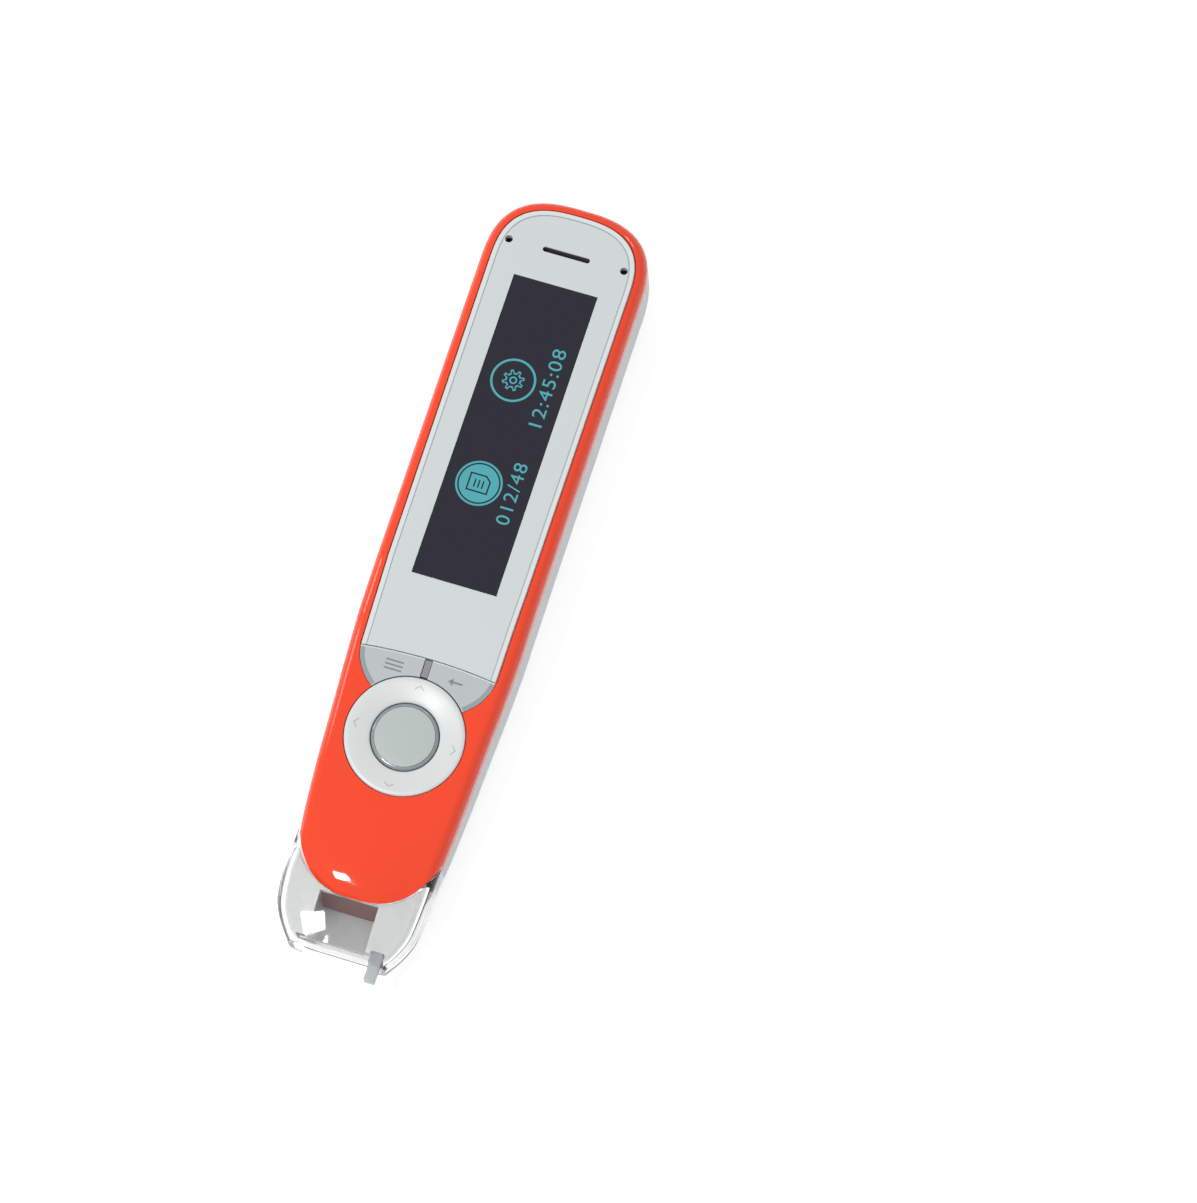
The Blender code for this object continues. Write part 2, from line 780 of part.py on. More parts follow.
def make_display():
    pane = block((-display_width / 2, window_foot_y, panel_face_height - panel_thickness),
                 (display_width / 2, window_top_y, panel_face_height))
    add_piece("display_window", pane, window_dark)
    half_width = display_width / 2 + module_margin
    half_length = display_length / 2 + module_end_margin
    module_top = panel_face_height - panel_thickness - fit_gap
    module_low = module_top - module_thickness
    module = block((-half_width, display_y - half_length, module_low),
                   (half_width, display_y + half_length, module_top))
    round_edges(add_piece("display_module", module, glass_dark), edge_bevel, 1)

    board_top = main_board_height + board_thickness
    outer = block((-board_half_width, display_y - half_length, board_top + fit_gap),
                  (board_half_width, display_y + half_length, module_low - fit_gap))
    holder = add_piece("display_holder", outer, inner_grey)
    inner_width = board_half_width - holder_wall
    inner_length = half_length - holder_wall
    inside = block((-inner_width, display_y - inner_length, board_top - overrun),
                   (inner_width, display_y + inner_length, module_low + overrun))
    cut(holder, add_guide("holder_inside", inside))

    # The ribbon leaves the module's lower end and folds down beside the holder to the board
    near = display_y - half_length - fit_gap
    line = ((near, module_low + module_thickness / 2), (near, board_top + fit_gap + ribbon_thickness),
            (near - ribbon_landing, board_top + fit_gap + ribbon_thickness))
    add_piece("display_ribbon", folded_strip(line, ribbon_width), copper_ribbon)


def folded_strip(line, width):
    # A thin strip across X that follows a line of (y, z) points, with its thickness to the line's right
    offset = []
    for number, point in enumerate(line):
        before = line[max(number - 1, 0)]
        after = line[min(number + 1, len(line) - 1)]
        first = Vector((point[0] - before[0], point[1] - before[1]))
        second = Vector((after[0] - point[0], after[1] - point[1]))
        along_first = (first if first.length > 0 else second).normalized()
        along_second = (second if second.length > 0 else first).normalized()
        across = Vector((along_first.y + along_second.y, -along_first.x - along_second.x))
        across *= 2 * ribbon_thickness / across.length_squared
        offset.append((point[0] + across.x, point[1] + across.y))
    return side_prism(list(line) + offset[::-1], -width / 2, width / 2)


# Keys, ring, centre button and what lies under them

def make_ring():
    flange_radius = ring_radius + ring_flange
    crest = ring_radius - ring_rim
    hole_low = ring_hole_radius + centre_flange + fit_gap
    profile = ((ring_hole_radius, -ring_dish), (ring_hole_radius, flange_top_z / 2),
               (hole_low, flange_top_z / 2),
               (hole_low, ring_bottom_z), (flange_radius, ring_bottom_z), (flange_radius, flange_top_z),
               (ring_radius, flange_top_z), (ring_radius, -ring_dish / 2),
               (ring_radius - ring_rim / 3, 0.0),
               (crest, panel_proud), (crest - (crest - ring_hole_radius) / 3, 0.0),
               (crest - (crest - ring_hole_radius) * 2 / 3, -ring_dish / 2))
    add_piece("nav_ring", turned(profile, fine_segments), ring_white, key_plane)

    pad_radius = ring_radius - fit_gap
    pad = turned(((hole_low, pad_bottom_z), (pad_radius, pad_bottom_z), (pad_radius, pad_top_z),
                  (hole_low, pad_top_z)), round_segments)
    carrier = add_piece("ring_pad", pad, rubber, key_plane)
    for number, (x, y) in enumerate(ring_switch_places()):
        nub = disc(pad_nub_radius, nub_z, pad_bottom_z + pad_thickness / 2, small_segments, (x, y))
        fuse(carrier, add_guide(f"pad_nub_{number}", nub, key_plane))


def ring_switch_places():
    for x, y in ((0, 1), (0, -1), (-1, 0), (1, 0)):
        yield x * switch_ring_radius, y * switch_ring_radius


def make_centre_button():
    flange_radius = centre_radius + centre_flange
    flange_low = ring_bottom_z
    flange_high = flange_low + centre_flange_thickness
    profile = ((0.0, nub_z), (stem_radius, nub_z), (stem_radius, flange_low), (flange_radius, flange_low),
               (flange_radius, flange_high), (centre_radius, flange_high),
               (centre_radius, -centre_sink - edge_bevel), (centre_radius - edge_bevel, -centre_sink),
               (centre_radius / 2, -centre_sink + centre_crown * 0.75),
               (0.0, -centre_sink + centre_crown))
    add_piece("centre_button", turned(profile, round_segments), button_clear, key_plane)


def make_key(name, side):
    # One key: its cap shows between panel, ring and frame, and its lower plate reaches under the frame
    plate_top = -(ceiling_depth + fit_gap)
    plate_low = plate_top - key_flange_thickness
    cap = prism(key_outline(side, 0.0, fit_gap, key_split / 2), plate_low, 0.0)
    key = add_piece(name, cap, key_grey, key_plane)
    flange_outline = key_outline(side, key_flange, fit_gap + key_flange, key_split)
    flange = prism(flange_outline, plate_low + fit_gap / 3, plate_top)
    fuse(key, add_guide(f"{name}_flange", flange, key_plane))
    clear_of_ring = turned(((0.0, -overrun * 2), (ring_radius + ring_flange + fit_gap, -overrun * 2),
                            (ring_radius + ring_flange + fit_gap, -key_cap_thickness),
                            (ring_radius + fit_gap, -key_cap_thickness),
                            (ring_radius + fit_gap, overrun), (0.0, overrun)), fine_segments)
    cut(key, add_guide(f"{name}_ring_clearance", clear_of_ring, key_plane))
    stem_high = plate_low + key_flange_thickness / 2
    stem = disc(stem_radius, nub_z, stem_high, small_segments, key_stem_place(side))
    fuse(key, add_guide(f"{name}_stem", stem, key_plane))


def key_stem_place(side):
    return side * key_stem_spread, ring_from_panel - panel_foot_arch - key_stem_setback


def make_key_web():
    high = -web_sink
    low = key_board_z + fit_gap
    foot_y = ring_radius + ring_flange + fit_gap * 2
    web = block((-web_thickness / 2, foot_y, low), (web_thickness / 2, panel_foot_local - fit_gap, high))
    add_piece("key_web", web, inner_grey, key_plane)


def make_key_board():
    low = key_board_z - board_thickness
    board = block((-key_board_half_width, -ring_radius, low),
                  (key_board_half_width, ring_from_panel + fit_gap, key_board_z))
    round_edges(add_piece("key_board", board, board_green, key_plane), edge_bevel * 2, 1)
    places = dict(zip(("up", "down", "left", "right"), ring_switch_places()))
    places["centre"] = (0.0, 0.0)
    places["key_left"] = key_stem_place(-1)
    places["key_right"] = key_stem_place(1)
    for word, (x, y) in places.items():
        base = key_board_z + fit_gap / 2
        profile = ((0.0, base), (dome_radius, base), (dome_radius * 0.8, base + (dome_top_z - base) * 0.6),
                   (dome_radius * 0.4, dome_top_z), (0.0, dome_top_z))
        add_piece(f"dome_{word}", turned(profile, small_segments // 2, (x, y)), metal, key_plane)

    # The key board's ribbon starts under its upper end and steps down onto the main board
    board_end = ring_y + ring_from_panel * math.cos(key_tilt)
    under = shell_face(ring_y) + ring_from_panel * math.sin(key_tilt) + low - fit_gap * 2
    main_top = main_board_height + board_thickness + fit_gap
    line = ((board_end - key_ribbon_landing, under - key_ribbon_landing * math.tan(key_tilt)),
            (board_end, under), (board_end + ribbon_landing, main_top + ribbon_thickness),
            (board_end + ribbon_landing + key_ribbon_landing, main_top + ribbon_thickness))
    add_piece("key_ribbon", folded_strip(line, key_ribbon_width), copper_ribbon)


# Tip: clear cover, forked hood, smoked window

hood_depth = hood_inset + hood_wall
nib_spread = plan_half_width(body_plan, hood_end_y, hood_inset) - prong_wall - slide_gap - nib_width / 2
nib_top_z = crowned_face(nib_spread + nib_width / 2, notch_y) - hood_depth - fit_gap
nib_low_z = nib_top_z - nib_height
notch_right = nib_spread - nib_width / 2 - nib_notch_gap
notch_left = -notch_right - notch_skew
camera_block = 2 * notch_right * camera_block_share
camera_radius = camera_block * camera_radius_share


def make_clear_cover():
    rings = rear_rings(0.0, 0.0) + front_rings(0.0, 0.0)
    form = stack_form(body_plan, rings, end_y, edge_centre_y, column_shares=(-0.5, 0.0, 0.5))
    cover = add_piece("clear_tip_cover", form, clear)
    inner = rear_rings(shell_wall, shell_wall) + front_rings(shell_wall, shell_wall)
    inside = stack_form(body_plan, inner, end_y - overrun, edge_centre_y + overrun,
                        column_shares=(-0.5, 0.0, 0.5))
    cut(cover, add_guide("cover_inside", inside))
    reach = body_half_width + overrun
    arch = lower_arch(edge_half_width + fit_gap, edge_depth + fit_gap)
    above = [(-reach, edge_centre_y)] + arch + [(reach, edge_centre_y), (reach, edge_centre_y + overrun),
                                                (-reach, edge_centre_y + overrun)]
    cut(cover, add_guide("cover_edge_cutter", prism(above, -overrun, shell_face_height + overrun)))
    feet = block((notch_left - foot_step, end_y - overrun, -overrun),
                 (notch_right + foot_step, end_y + foot_length, shell_face_height + overrun))
    cut(cover, add_guide("foot_cutter", feet))
    channel = block((nib_spread - nib_width / 2 - slide_gap, end_y - overrun, nib_low_z - slide_gap),
                    (nib_spread + nib_width / 2 + slide_gap, notch_y, nib_top_z + slide_gap))
    cut(cover, add_guide("cover_nib_channel", channel))


def make_hood():
    rings = rear_rings(hood_inset, hood_inset) + front_rings(hood_inset, hood_inset)
    form = stack_form(body_plan, rings, hood_end_y, hood_top_y, column_shares=(-0.5, 0.0, 0.5))
    hood = add_piece("tip_hood", form, white)
    inner = rear_rings(hood_depth, hood_depth) + front_rings(hood_depth, hood_depth)
    inside_form = stack_form(body_plan, inner, hood_end_y - overrun, hood_top_y + overrun,
                             column_shares=(0.0,))
    inside = add_guide("hood_inside", inside_form)
    for low, word in ((notch_left - fit_gap - baffle_thickness, "left"), (notch_right + fit_gap, "right")):
        baffle = block((low, notch_y + fit_gap, -overrun),
                       (low + baffle_thickness, notch_y + notch_depth, shell_face_height + overrun))
        cut(inside, add_guide(f"baffle_{word}", baffle))
    middle = (seam_height(notch_y) + shell_back(notch_y)) / 2
    notch = block((notch_left, hood_end_y - overrun, middle),
                  (notch_right, notch_y - fit_gap / 2, shell_face_height + overrun))

    # The nib's channel opens to the front near the end of its prong
    start = hood_end_y - overrun
    window_y = end_y + nib_window
    outline = ((start, nib_low_z - slide_gap), (notch_y + fit_gap, nib_low_z - slide_gap),
               (notch_y + fit_gap, nib_top_z + slide_gap), (window_y, nib_top_z + slide_gap),
               (window_y, shell_face_height + overrun), (start, shell_face_height + overrun))
    half_channel = nib_width / 2 + slide_gap
    channel = side_prism(outline, nib_spread - half_channel, nib_spread + half_channel)
    cut(hood, add_guide("hood_nib_channel", channel))
    cut(hood, add_guide("notch_cutter", notch))
    cut(hood, inside)


def plate_across(name, y_low, y_high, left, right, finish):
    # A plate across the hood's inside, with the hood's own curved outline
    deep = hood_depth + fit_gap
    rings = rear_rings(deep, deep) + front_rings(deep, deep)
    plate = add_piece(name, stack_form(body_plan, rings, y_low, y_high, column_shares=(0.0,)), finish)
    reach = body_half_width + overrun
    for low, high, word in ((-reach, left, "left"), (right, reach, "right")):
        trim = block((low, y_low - overrun, -overrun),
                     (high, y_high + overrun, shell_face_height + overrun))
        cut(plate, add_guide(f"{name}_trim_{word}", trim))
    return plate


def camera_height(y):
    return shell_back(y) + (shell_face(y) - shell_back(y)) * camera_rise_share


def make_camera():
    plate_across("camera_window", notch_y, notch_y + window_thickness, notch_left, notch_right, smoked)
    board_low = hood_top_y - tip_board_thickness
    board_reach = body_half_width - hood_depth - fit_gap
    plate_across("camera_board", board_low, hood_top_y, -board_reach, board_reach, board_green)
    z = camera_height(board_low)
    block_low = board_low - fit_gap - camera_block_length
    housing = block((-camera_block / 2, block_low, z - camera_block / 2),
                    (camera_block / 2, board_low - fit_gap, z + camera_block / 2))
    round_edges(add_piece("camera_housing", housing, chip_black), edge_bevel, 1)
    glass_low = notch_y + window_thickness + lamp_length + fit_gap
    barrel_start = glass_low
    barrel_end = block_low - fit_gap
    wall = camera_radius / 4
    seat = lens_glass_thickness + fit_gap
    profile = ((0.0, seat), (camera_radius - wall, seat), (camera_radius - wall, 0.0),
               (camera_radius, 0.0), (camera_radius, barrel_end - barrel_start),
               (0.0, barrel_end - barrel_start))
    barrel = lay_along_y(turned(profile, round_segments // 2), (0.0, z), barrel_start)
    add_piece("camera_barrel", barrel, chip_black)
    lens = turned(((0.0, 0.0), (camera_radius - wall - fit_gap, lens_glass_thickness / 3),
                   (camera_radius - wall - fit_gap, lens_glass_thickness), (0.0, lens_glass_thickness)),
                  small_segments)
    add_piece("camera_lens", lay_along_y(lens, (0.0, z), barrel_start), glass_dark)
    lamp_y = notch_y + window_thickness + fit_gap
    for side, word in ((-1, "left"), (1, "right")):
        edges = sorted((side * notch_right, side * (notch_right - lamp_width)))
        lamp = block((edges[0], lamp_y, z - lamp_width), (edges[1], lamp_y + lamp_length, z + lamp_width))
        add_piece(f"lamp_{word}", lamp, lamp_white)


def make_trigger():
    middle = (nib_low_z + nib_top_z) / 2
    switch_high = hood_top_y - tip_board_thickness - fit_gap
    switch_low = switch_high - trigger_switch_length
    switch = block((nib_spread - trigger_switch_width / 2, switch_low, middle - trigger_switch_width / 2),
                   (nib_spread + trigger_switch_width / 2, switch_high, middle + trigger_switch_width / 2))
    round_edges(add_piece("trigger_switch", switch, chip_black), edge_bevel, 1)

    # The tail stops short of the switch by the nib's travel
    shoulder = end_y + nib_shoulder
    tail_length = switch_low - nib_travel - tail_clearance - shoulder
    bar = block((nib_spread - nib_width / 2, end_y - nib_reach, nib_low_z),
                (nib_spread + nib_width / 2, shoulder, nib_top_z))
    nib = add_piece("trigger_nib", bar, nib_grey)
    round_edges(nib, edge_bevel, 2)
    tail = disc(tail_radius, -nib_height / 2, tail_length, small_segments // 2)
    fuse(nib, add_guide("nib_tail", lay_along_y(tail, (nib_spread, middle), shoulder)))

    curve = bpy.data.curves.new("trigger_spring", "CURVE")
    curve.dimensions = "3D"
    curve.bevel_depth = spring_wire_radius
    curve.bevel_resolution = wire_rounding
    curve.use_fill_caps = True
    line = curve.splines.new("POLY")
    count = spring_turns * spring_turn_steps
    line.points.add(count)
    spring_start = shoulder + fit_gap + spring_wire_radius
    spring_end = shoulder + tail_length - tail_clearance - spring_wire_radius
    for i in range(count + 1):
        turn = 2 * math.pi * spring_turns * i / count
        line.points[i].co = (nib_spread + spring_radius * math.cos(turn),
                             spring_start + (spring_end - spring_start) * i / count,
                             middle + spring_radius * math.sin(turn), 1)
    spring = bpy.data.objects.new("trigger_spring", curve)
    bpy.context.scene.collection.objects.link(spring)
    curve.materials.append(spring_steel)


# Main board and what it carries, battery, sockets, speaker, microphones

def make_boards():
    top = main_board_height + board_thickness
    board = block((-board_half_width, main_board_foot_y, main_board_height),
                  (board_half_width, top_y - shell_wall - main_board_top_margin, top))
    add_piece("main_board", board, board_green)
    for name, y in (("processor", display_y + chip_spread), ("memory_chip", display_y - chip_spread)):
        chip = block((-chip_length / 2, y - chip_length / 2, top + fit_gap / 2),
                     (chip_length / 2, y + chip_length / 2, top + fit_gap / 2 + chip_thickness))
        round_edges(add_piece(name, chip, chip_black), edge_bevel / 2, 1)

    floor = shell_wall + fit_gap
    pad = block((-battery_half_width / 2, display_y - battery_length / 3, floor),
                (battery_half_width / 2, display_y + battery_length / 3, floor + battery_pad_thickness))
    add_piece("battery_pad", pad, foam)
    cell_low = floor + battery_pad_thickness + fit_gap
    cell = block((-battery_half_width, display_y - battery_length / 2, cell_low),
                 (battery_half_width, display_y + battery_length / 2, main_board_height - fit_gap))
    round_edges(add_piece("battery", cell, battery_silver), edge_bevel * 3, 2)
    plug_y = main_board_foot_y + battery_plug_length
    plug = block((-battery_plug_width / 2, plug_y, main_board_height - fit_gap - battery_plug_height),
                 (battery_plug_width / 2, plug_y + battery_plug_length, main_board_height - fit_gap))
    add_piece("battery_plug", plug, lamp_white)


def make_sockets():
    low = main_board_height + board_thickness + fit_gap
    end = top_y - shell_wall - fit_gap
    usb = block((-usb_spread - usb_width / 2, end - usb_length, low),
                (-usb_spread + usb_width / 2, end, low + usb_height))
    socket = add_piece("usb_socket", usb, metal)
    mouth = block((-usb_spread - usb_width / 2 + usb_shell, end - usb_mouth_depth, low + usb_shell),
                  (-usb_spread + usb_width / 2 - usb_shell, end + overrun, low + usb_height - usb_shell))
    mouth_guide = add_guide("usb_mouth", mouth)
    tongue_z = low + usb_height / 2
    tongue = block((-usb_spread - usb_width / 3, end - usb_length, tongue_z - usb_tongue / 2),
                   (-usb_spread + usb_width / 3, end - usb_shell, tongue_z + usb_tongue / 2))
    cut(mouth_guide, add_guide("usb_tongue_guide", tongue))
    cut(socket, mouth_guide)

    nose_y = top_y - jack_end_from_top
    body = block((jack_spread - jack_width / 2, nose_y - jack_length, low),
                 (jack_spread + jack_width / 2, nose_y - jack_nose_length, low + jack_height))
    jack = add_piece("headphone_socket", body, chip_black)
    centre = (jack_spread, low + jack_height / 2)
    nose_form = disc(jack_nose_radius - edge_bevel / 3, -jack_nose_length, jack_nose_length, round_segments)
    nose = lay_along_y(nose_form, centre, nose_y - jack_nose_length)
    fuse(jack, add_guide("jack_nose", nose))
    bore = lay_along_y(disc(jack_bore_radius, -jack_bore_depth, overrun, small_segments), centre, nose_y)
    cut(jack, add_guide("jack_bore", bore))


def make_sound():
    high = panel_face_height - panel_thickness - fit_gap
    body = block((-speaker_width / 2, slot_y - speaker_length / 2, high - speaker_thickness),
                 (speaker_width / 2, slot_y + speaker_length / 2, high))
    speaker = add_piece("speaker", body, chip_black)
    round_edges(speaker, edge_bevel * 2, 1)
    ledge_low = shell_face_height - ceiling_depth - fit_gap
    for side, word in ((-1, "left"), (1, "right")):
        place = (side * hole_spread, slot_y)
        capsule = disc(microphone_radius, ledge_low - microphone_height, ledge_low, small_segments, place)
        add_piece(f"microphone_{word}", capsule, rubber)


def make_screws():
    for number, (x, y) in enumerate(screw_places()):
        head_top = screw_well_depth - fit_gap
        head_low = head_top - screw_head_height
        socket_radius = screw_head_radius / 2
        profile = ((0.0, head_low + screw_head_height / 2),
                   (socket_radius, head_low + screw_head_height / 2),
                   (socket_radius, head_low), (screw_head_radius, head_low), (screw_head_radius, head_top),
                   (screw_shank_radius - fit_gap / 3, head_top),
                   (screw_shank_radius - fit_gap / 3, screw_top),
                   (0.0, screw_top))
        add_piece(f"screw_{number + 1}", turned(profile, small_segments, (x, y)), metal)


make_front_frame()
make_rear_shell()
make_front_panel()
make_display()
make_ring()
make_centre_button()
make_key("key_left", -1)
make_key("key_right", 1)
make_key_web()
make_key_board()
make_clear_cover()
make_hood()
make_camera()
make_trigger()
make_boards()
make_sockets()
make_sound()
make_screws()
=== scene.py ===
# Scanning pen: finishes, fine detail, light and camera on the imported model
import json
import math

import bmesh
import bpy
from mathutils import Matrix, Quaternion, Vector


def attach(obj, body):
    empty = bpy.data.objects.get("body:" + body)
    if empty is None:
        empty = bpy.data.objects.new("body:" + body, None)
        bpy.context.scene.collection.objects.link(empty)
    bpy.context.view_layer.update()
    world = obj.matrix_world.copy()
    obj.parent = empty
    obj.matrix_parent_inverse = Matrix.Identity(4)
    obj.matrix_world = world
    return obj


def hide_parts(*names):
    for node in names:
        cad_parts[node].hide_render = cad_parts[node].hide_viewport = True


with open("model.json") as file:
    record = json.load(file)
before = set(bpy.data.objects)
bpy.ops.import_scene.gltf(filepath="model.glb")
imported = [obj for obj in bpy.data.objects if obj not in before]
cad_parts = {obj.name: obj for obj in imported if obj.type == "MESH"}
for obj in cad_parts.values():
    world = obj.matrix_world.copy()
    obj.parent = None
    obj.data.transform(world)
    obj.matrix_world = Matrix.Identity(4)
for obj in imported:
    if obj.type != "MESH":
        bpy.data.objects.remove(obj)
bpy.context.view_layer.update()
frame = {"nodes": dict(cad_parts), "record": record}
nodes = frame["nodes"]
scene = bpy.context.scene
mm = 0.001
print("frame loaded:", len(nodes), "nodes")


# Nodes: a value is a plain number, a colour or another node's socket

def feed(node, inputs):
    for label, value in inputs.items():
        if isinstance(value, bpy.types.NodeSocket):
            node.id_data.links.new(value, node.inputs[label])
        else:
            node.inputs[label].default_value = value


def addNode(tree, kind, inputs=None, **settings):
    node = tree.nodes.new(kind)
    for label, value in settings.items():
        setattr(node, label, value)
    feed(node, inputs or {})
    return node


def addMath(operation, *values):
    # Joins the tree that its sockets are in
    tree = next(value.id_data for value in values if isinstance(value, bpy.types.NodeSocket))
    return addNode(tree, "ShaderNodeMath", dict(enumerate(values)), operation=operation).outputs[0]


def addMix(factor, first, second):
    mix = addNode(factor.id_data, "ShaderNodeMix", {0: factor, 6: first, 7: second}, data_type="RGBA")
    return mix.outputs[2]


def addVector(tree, **parts):
    return addNode(tree, "ShaderNodeCombineXYZ", parts).outputs[0]


def addPlace(tree, scale=None, turn=0.0):
    place = tree.nodes.new("ShaderNodeTexCoord").outputs["Object"]
    if scale is None:
        return place
    mapping = addNode(tree, "ShaderNodeMapping", {"Vector": place, "Scale": scale, "Rotation": (0, 0, turn)})
    return mapping.outputs[0]


def addNoise(tree, scale, detail, roughness=0.5, place=None):
    noise = addNode(tree, "ShaderNodeTexNoise", {"Scale": scale, "Detail": detail, "Roughness": roughness,
                                                 "Vector": place or addPlace(tree)})
    return noise.outputs["Fac"]


inputKinds = {float: "NodeSocketFloat", int: "NodeSocketInt", 3: "NodeSocketVector", 4: "NodeSocketColor"}
outputKinds = {"Colour": "NodeSocketColor", "Geometry": "NodeSocketGeometry"}


def startTree(name, inputs, outputs=("Geometry",)):
    # Group with named inputs, each of the kind that its first value shows
    tree = bpy.data.node_groups.new(name, "GeometryNodeTree" if "Geometry" in outputs else "ShaderNodeTree")
    for label, value in inputs.items():
        kind = inputKinds[len(value) if isinstance(value, tuple) else type(value)]
        tree.interface.new_socket(name=label, in_out="INPUT", socket_type=kind).default_value = value
    for label in outputs:
        tree.interface.new_socket(name=label, in_out="OUTPUT",
                                  socket_type=outputKinds.get(label, "NodeSocketFloat"))
    return tree, tree.nodes.new("NodeGroupInput").outputs, tree.nodes.new("NodeGroupOutput")


# Shader groups, built once and placed in the materials with their own values

def buildMouldedPlastic():
    tree, given, result = startTree("mouldedPlastic", {
        "Colour": (0.8, 0.8, 0.8, 1), "Deep Tone": (0.7, 0.7, 0.7, 1), "Blotch Scale": 60.0, "Blotch": 0.3,
        "Grain Scale": 9000.0, "Grain": 0.3, "Roughness": 0.2, "Smudge": 0.1}, ("Colour", "Roughness", "Height"))
    blotch = addMath("MULTIPLY", addNoise(tree, given["Blotch Scale"], 4.0, 0.6), given["Blotch"])
    smear = addMath("SUBTRACT", addNoise(tree, 210.0, 5.0, 0.7), 0.45)
    spread = addMath("MULTIPLY", smear, given["Smudge"])
    feed(result, {"Colour": addMix(blotch, given["Colour"], given["Deep Tone"]),
                  "Roughness": addMath("ADD", given["Roughness"], spread),
                  "Height": addMath("MULTIPLY", addNoise(tree, given["Grain Scale"], 2.0), given["Grain"])})
    return tree


def buildHairlines():
    # Very fine scratches in two directions, as a mask
    tree, given, result = startTree("hairlines", {"Scale": 1.0, "Amount": 0.5}, ("Mask",))
    marks = []
    for stretch, turn in (((900, 60, 60), 0.5), ((70, 1100, 60), -0.35)):
        lines = addNoise(tree, given["Scale"], 2.0, place=addPlace(tree, stretch, turn))
        marks.append(addMath("GREATER_THAN", lines, 0.735))
    feed(result, {"Mask": addMath("MULTIPLY", addMath("MAXIMUM", *marks), given["Amount"])})
    return tree


def buildBrushedMetal():
    tree, given, result = startTree("brushedMetal", {
        "Colour": (0.6, 0.6, 0.6, 1), "Dark Tone": (0.4, 0.4, 0.4, 1), "Roughness": 0.25, "Scale": 1.0},
        ("Colour", "Roughness", "Height"))
    lines = addNoise(tree, given["Scale"], 3.0, 0.6, addPlace(tree, (4000, 250, 4000)))
    spread = addMath("MULTIPLY", addMath("SUBTRACT", lines, 0.5), 0.25)
    feed(result, {"Colour": addMix(lines, given["Colour"], given["Dark Tone"]), "Height": lines,
                  "Roughness": addMath("ADD", given["Roughness"], spread)})
    return tree


def buildBoardTraces():
    # Copper runs under green lacquer
    tree, given, result = startTree("boardTraces", {
        "Lacquer": (0.02, 0.14, 0.06, 1), "Copper": (0.07, 0.30, 0.12, 1), "Scale": 1.0}, ("Colour", "Height"))
    brick = addNode(tree, "ShaderNodeTexBrick", {
        "Vector": addPlace(tree), "Scale": addMath("MULTIPLY", given["Scale"], 900.0), "Mortar Size": 0.07,
        "Brick Width": 1.9, "Row Height": 0.55, "Color1": (0, 0, 0, 1), "Color2": (0.25, 0.25, 0.25, 1),
        "Mortar": (1, 1, 1, 1)}, offset=0.35).outputs
    feed(result, {"Colour": addMix(brick["Color"], given["Lacquer"], given["Copper"]), "Height": brick["Fac"]})
    return tree


def buildStripes():
    tree, given, result = startTree("stripes", {
        "Ground": (0.5, 0.2, 0.04, 1), "Line": (0.7, 0.4, 0.1, 1), "Per Metre": 1600.0}, ("Colour", "Height"))
    split = addNode(tree, "ShaderNodeSeparateXYZ", {0: addPlace(tree)})
    phase = addMath("FRACT", addMath("MULTIPLY", split.outputs["X"], given["Per Metre"]))
    line = addMath("GREATER_THAN", phase, 0.45)
    feed(result, {"Colour": addMix(line, given["Ground"], given["Line"]), "Height": line})
    return tree


groups = {"plastic": buildMouldedPlastic(), "hairlines": buildHairlines(), "metal": buildBrushedMetal(),
          "traces": buildBoardTraces(), "stripes": buildStripes()}
print("shader groups built:", len(groups))


# Materials

inputNames = {"specular": "Specular IOR Level", "coat": "Coat Weight", "coatRoughness": "Coat Roughness",
              "clear": "Transmission Weight", "refraction": "IOR"}


def startMaterial(name, key, values=None):
    material = bpy.data.materials.new(name)
    material.use_nodes = True
    skin = addNode(material.node_tree, "ShaderNodeGroup", values, node_tree=groups[key])
    return material, material.node_tree.nodes["Principled BSDF"], skin.outputs


def addBump(shader, height, strength, depth=0.00002):
    bump = addNode(shader.id_data, "ShaderNodeBump", {"Height": height, "Strength": strength, "Distance": depth})
    feed(shader, {"Normal": bump.outputs[0]})


def makePlastic(name, colour, deep, roughness, blotch=0.35, grain=0.4, smudge=0.12, bump=0.15,
                grainScale=9000.0, scratches=0.0, **more):
    material, shader, skin = startMaterial(name, "plastic", {
        "Colour": (*colour, 1), "Deep Tone": (*deep, 1), "Blotch": blotch, "Grain": grain,
        "Grain Scale": grainScale, "Roughness": roughness, "Smudge": smudge})
    rough = skin["Roughness"]
    if scratches:
        lines = addNode(shader.id_data, "ShaderNodeGroup", {"Scale": 1.0, "Amount": scratches},
                        node_tree=groups["hairlines"])
        rough = addMath("ADD", rough, lines.outputs["Mask"])
    feed(shader, {"Base Color": skin["Colour"], "Roughness": rough})
    feed(shader, {inputNames[key]: value for key, value in more.items()})
    addBump(shader, skin["Height"], bump)
    return material


def makeMetal(name, colour, dark, roughness):
    material, shader, skin = startMaterial(name, "metal", {"Colour": (*colour, 1), "Dark Tone": (*dark, 1),
                                                           "Roughness": roughness})
    feed(shader, {"Base Color": skin["Colour"], "Roughness": skin["Roughness"], "Metallic": 1.0})
    addBump(shader, skin["Height"], 0.1, 0.00001)
    return material


def makePrinted(name, key, sockets):
    material, shader, skin = startMaterial(name, key)
    feed(shader, {"Base Color": skin["Colour"], **sockets})
    addBump(shader, skin["Height"], 0.2)
    return material


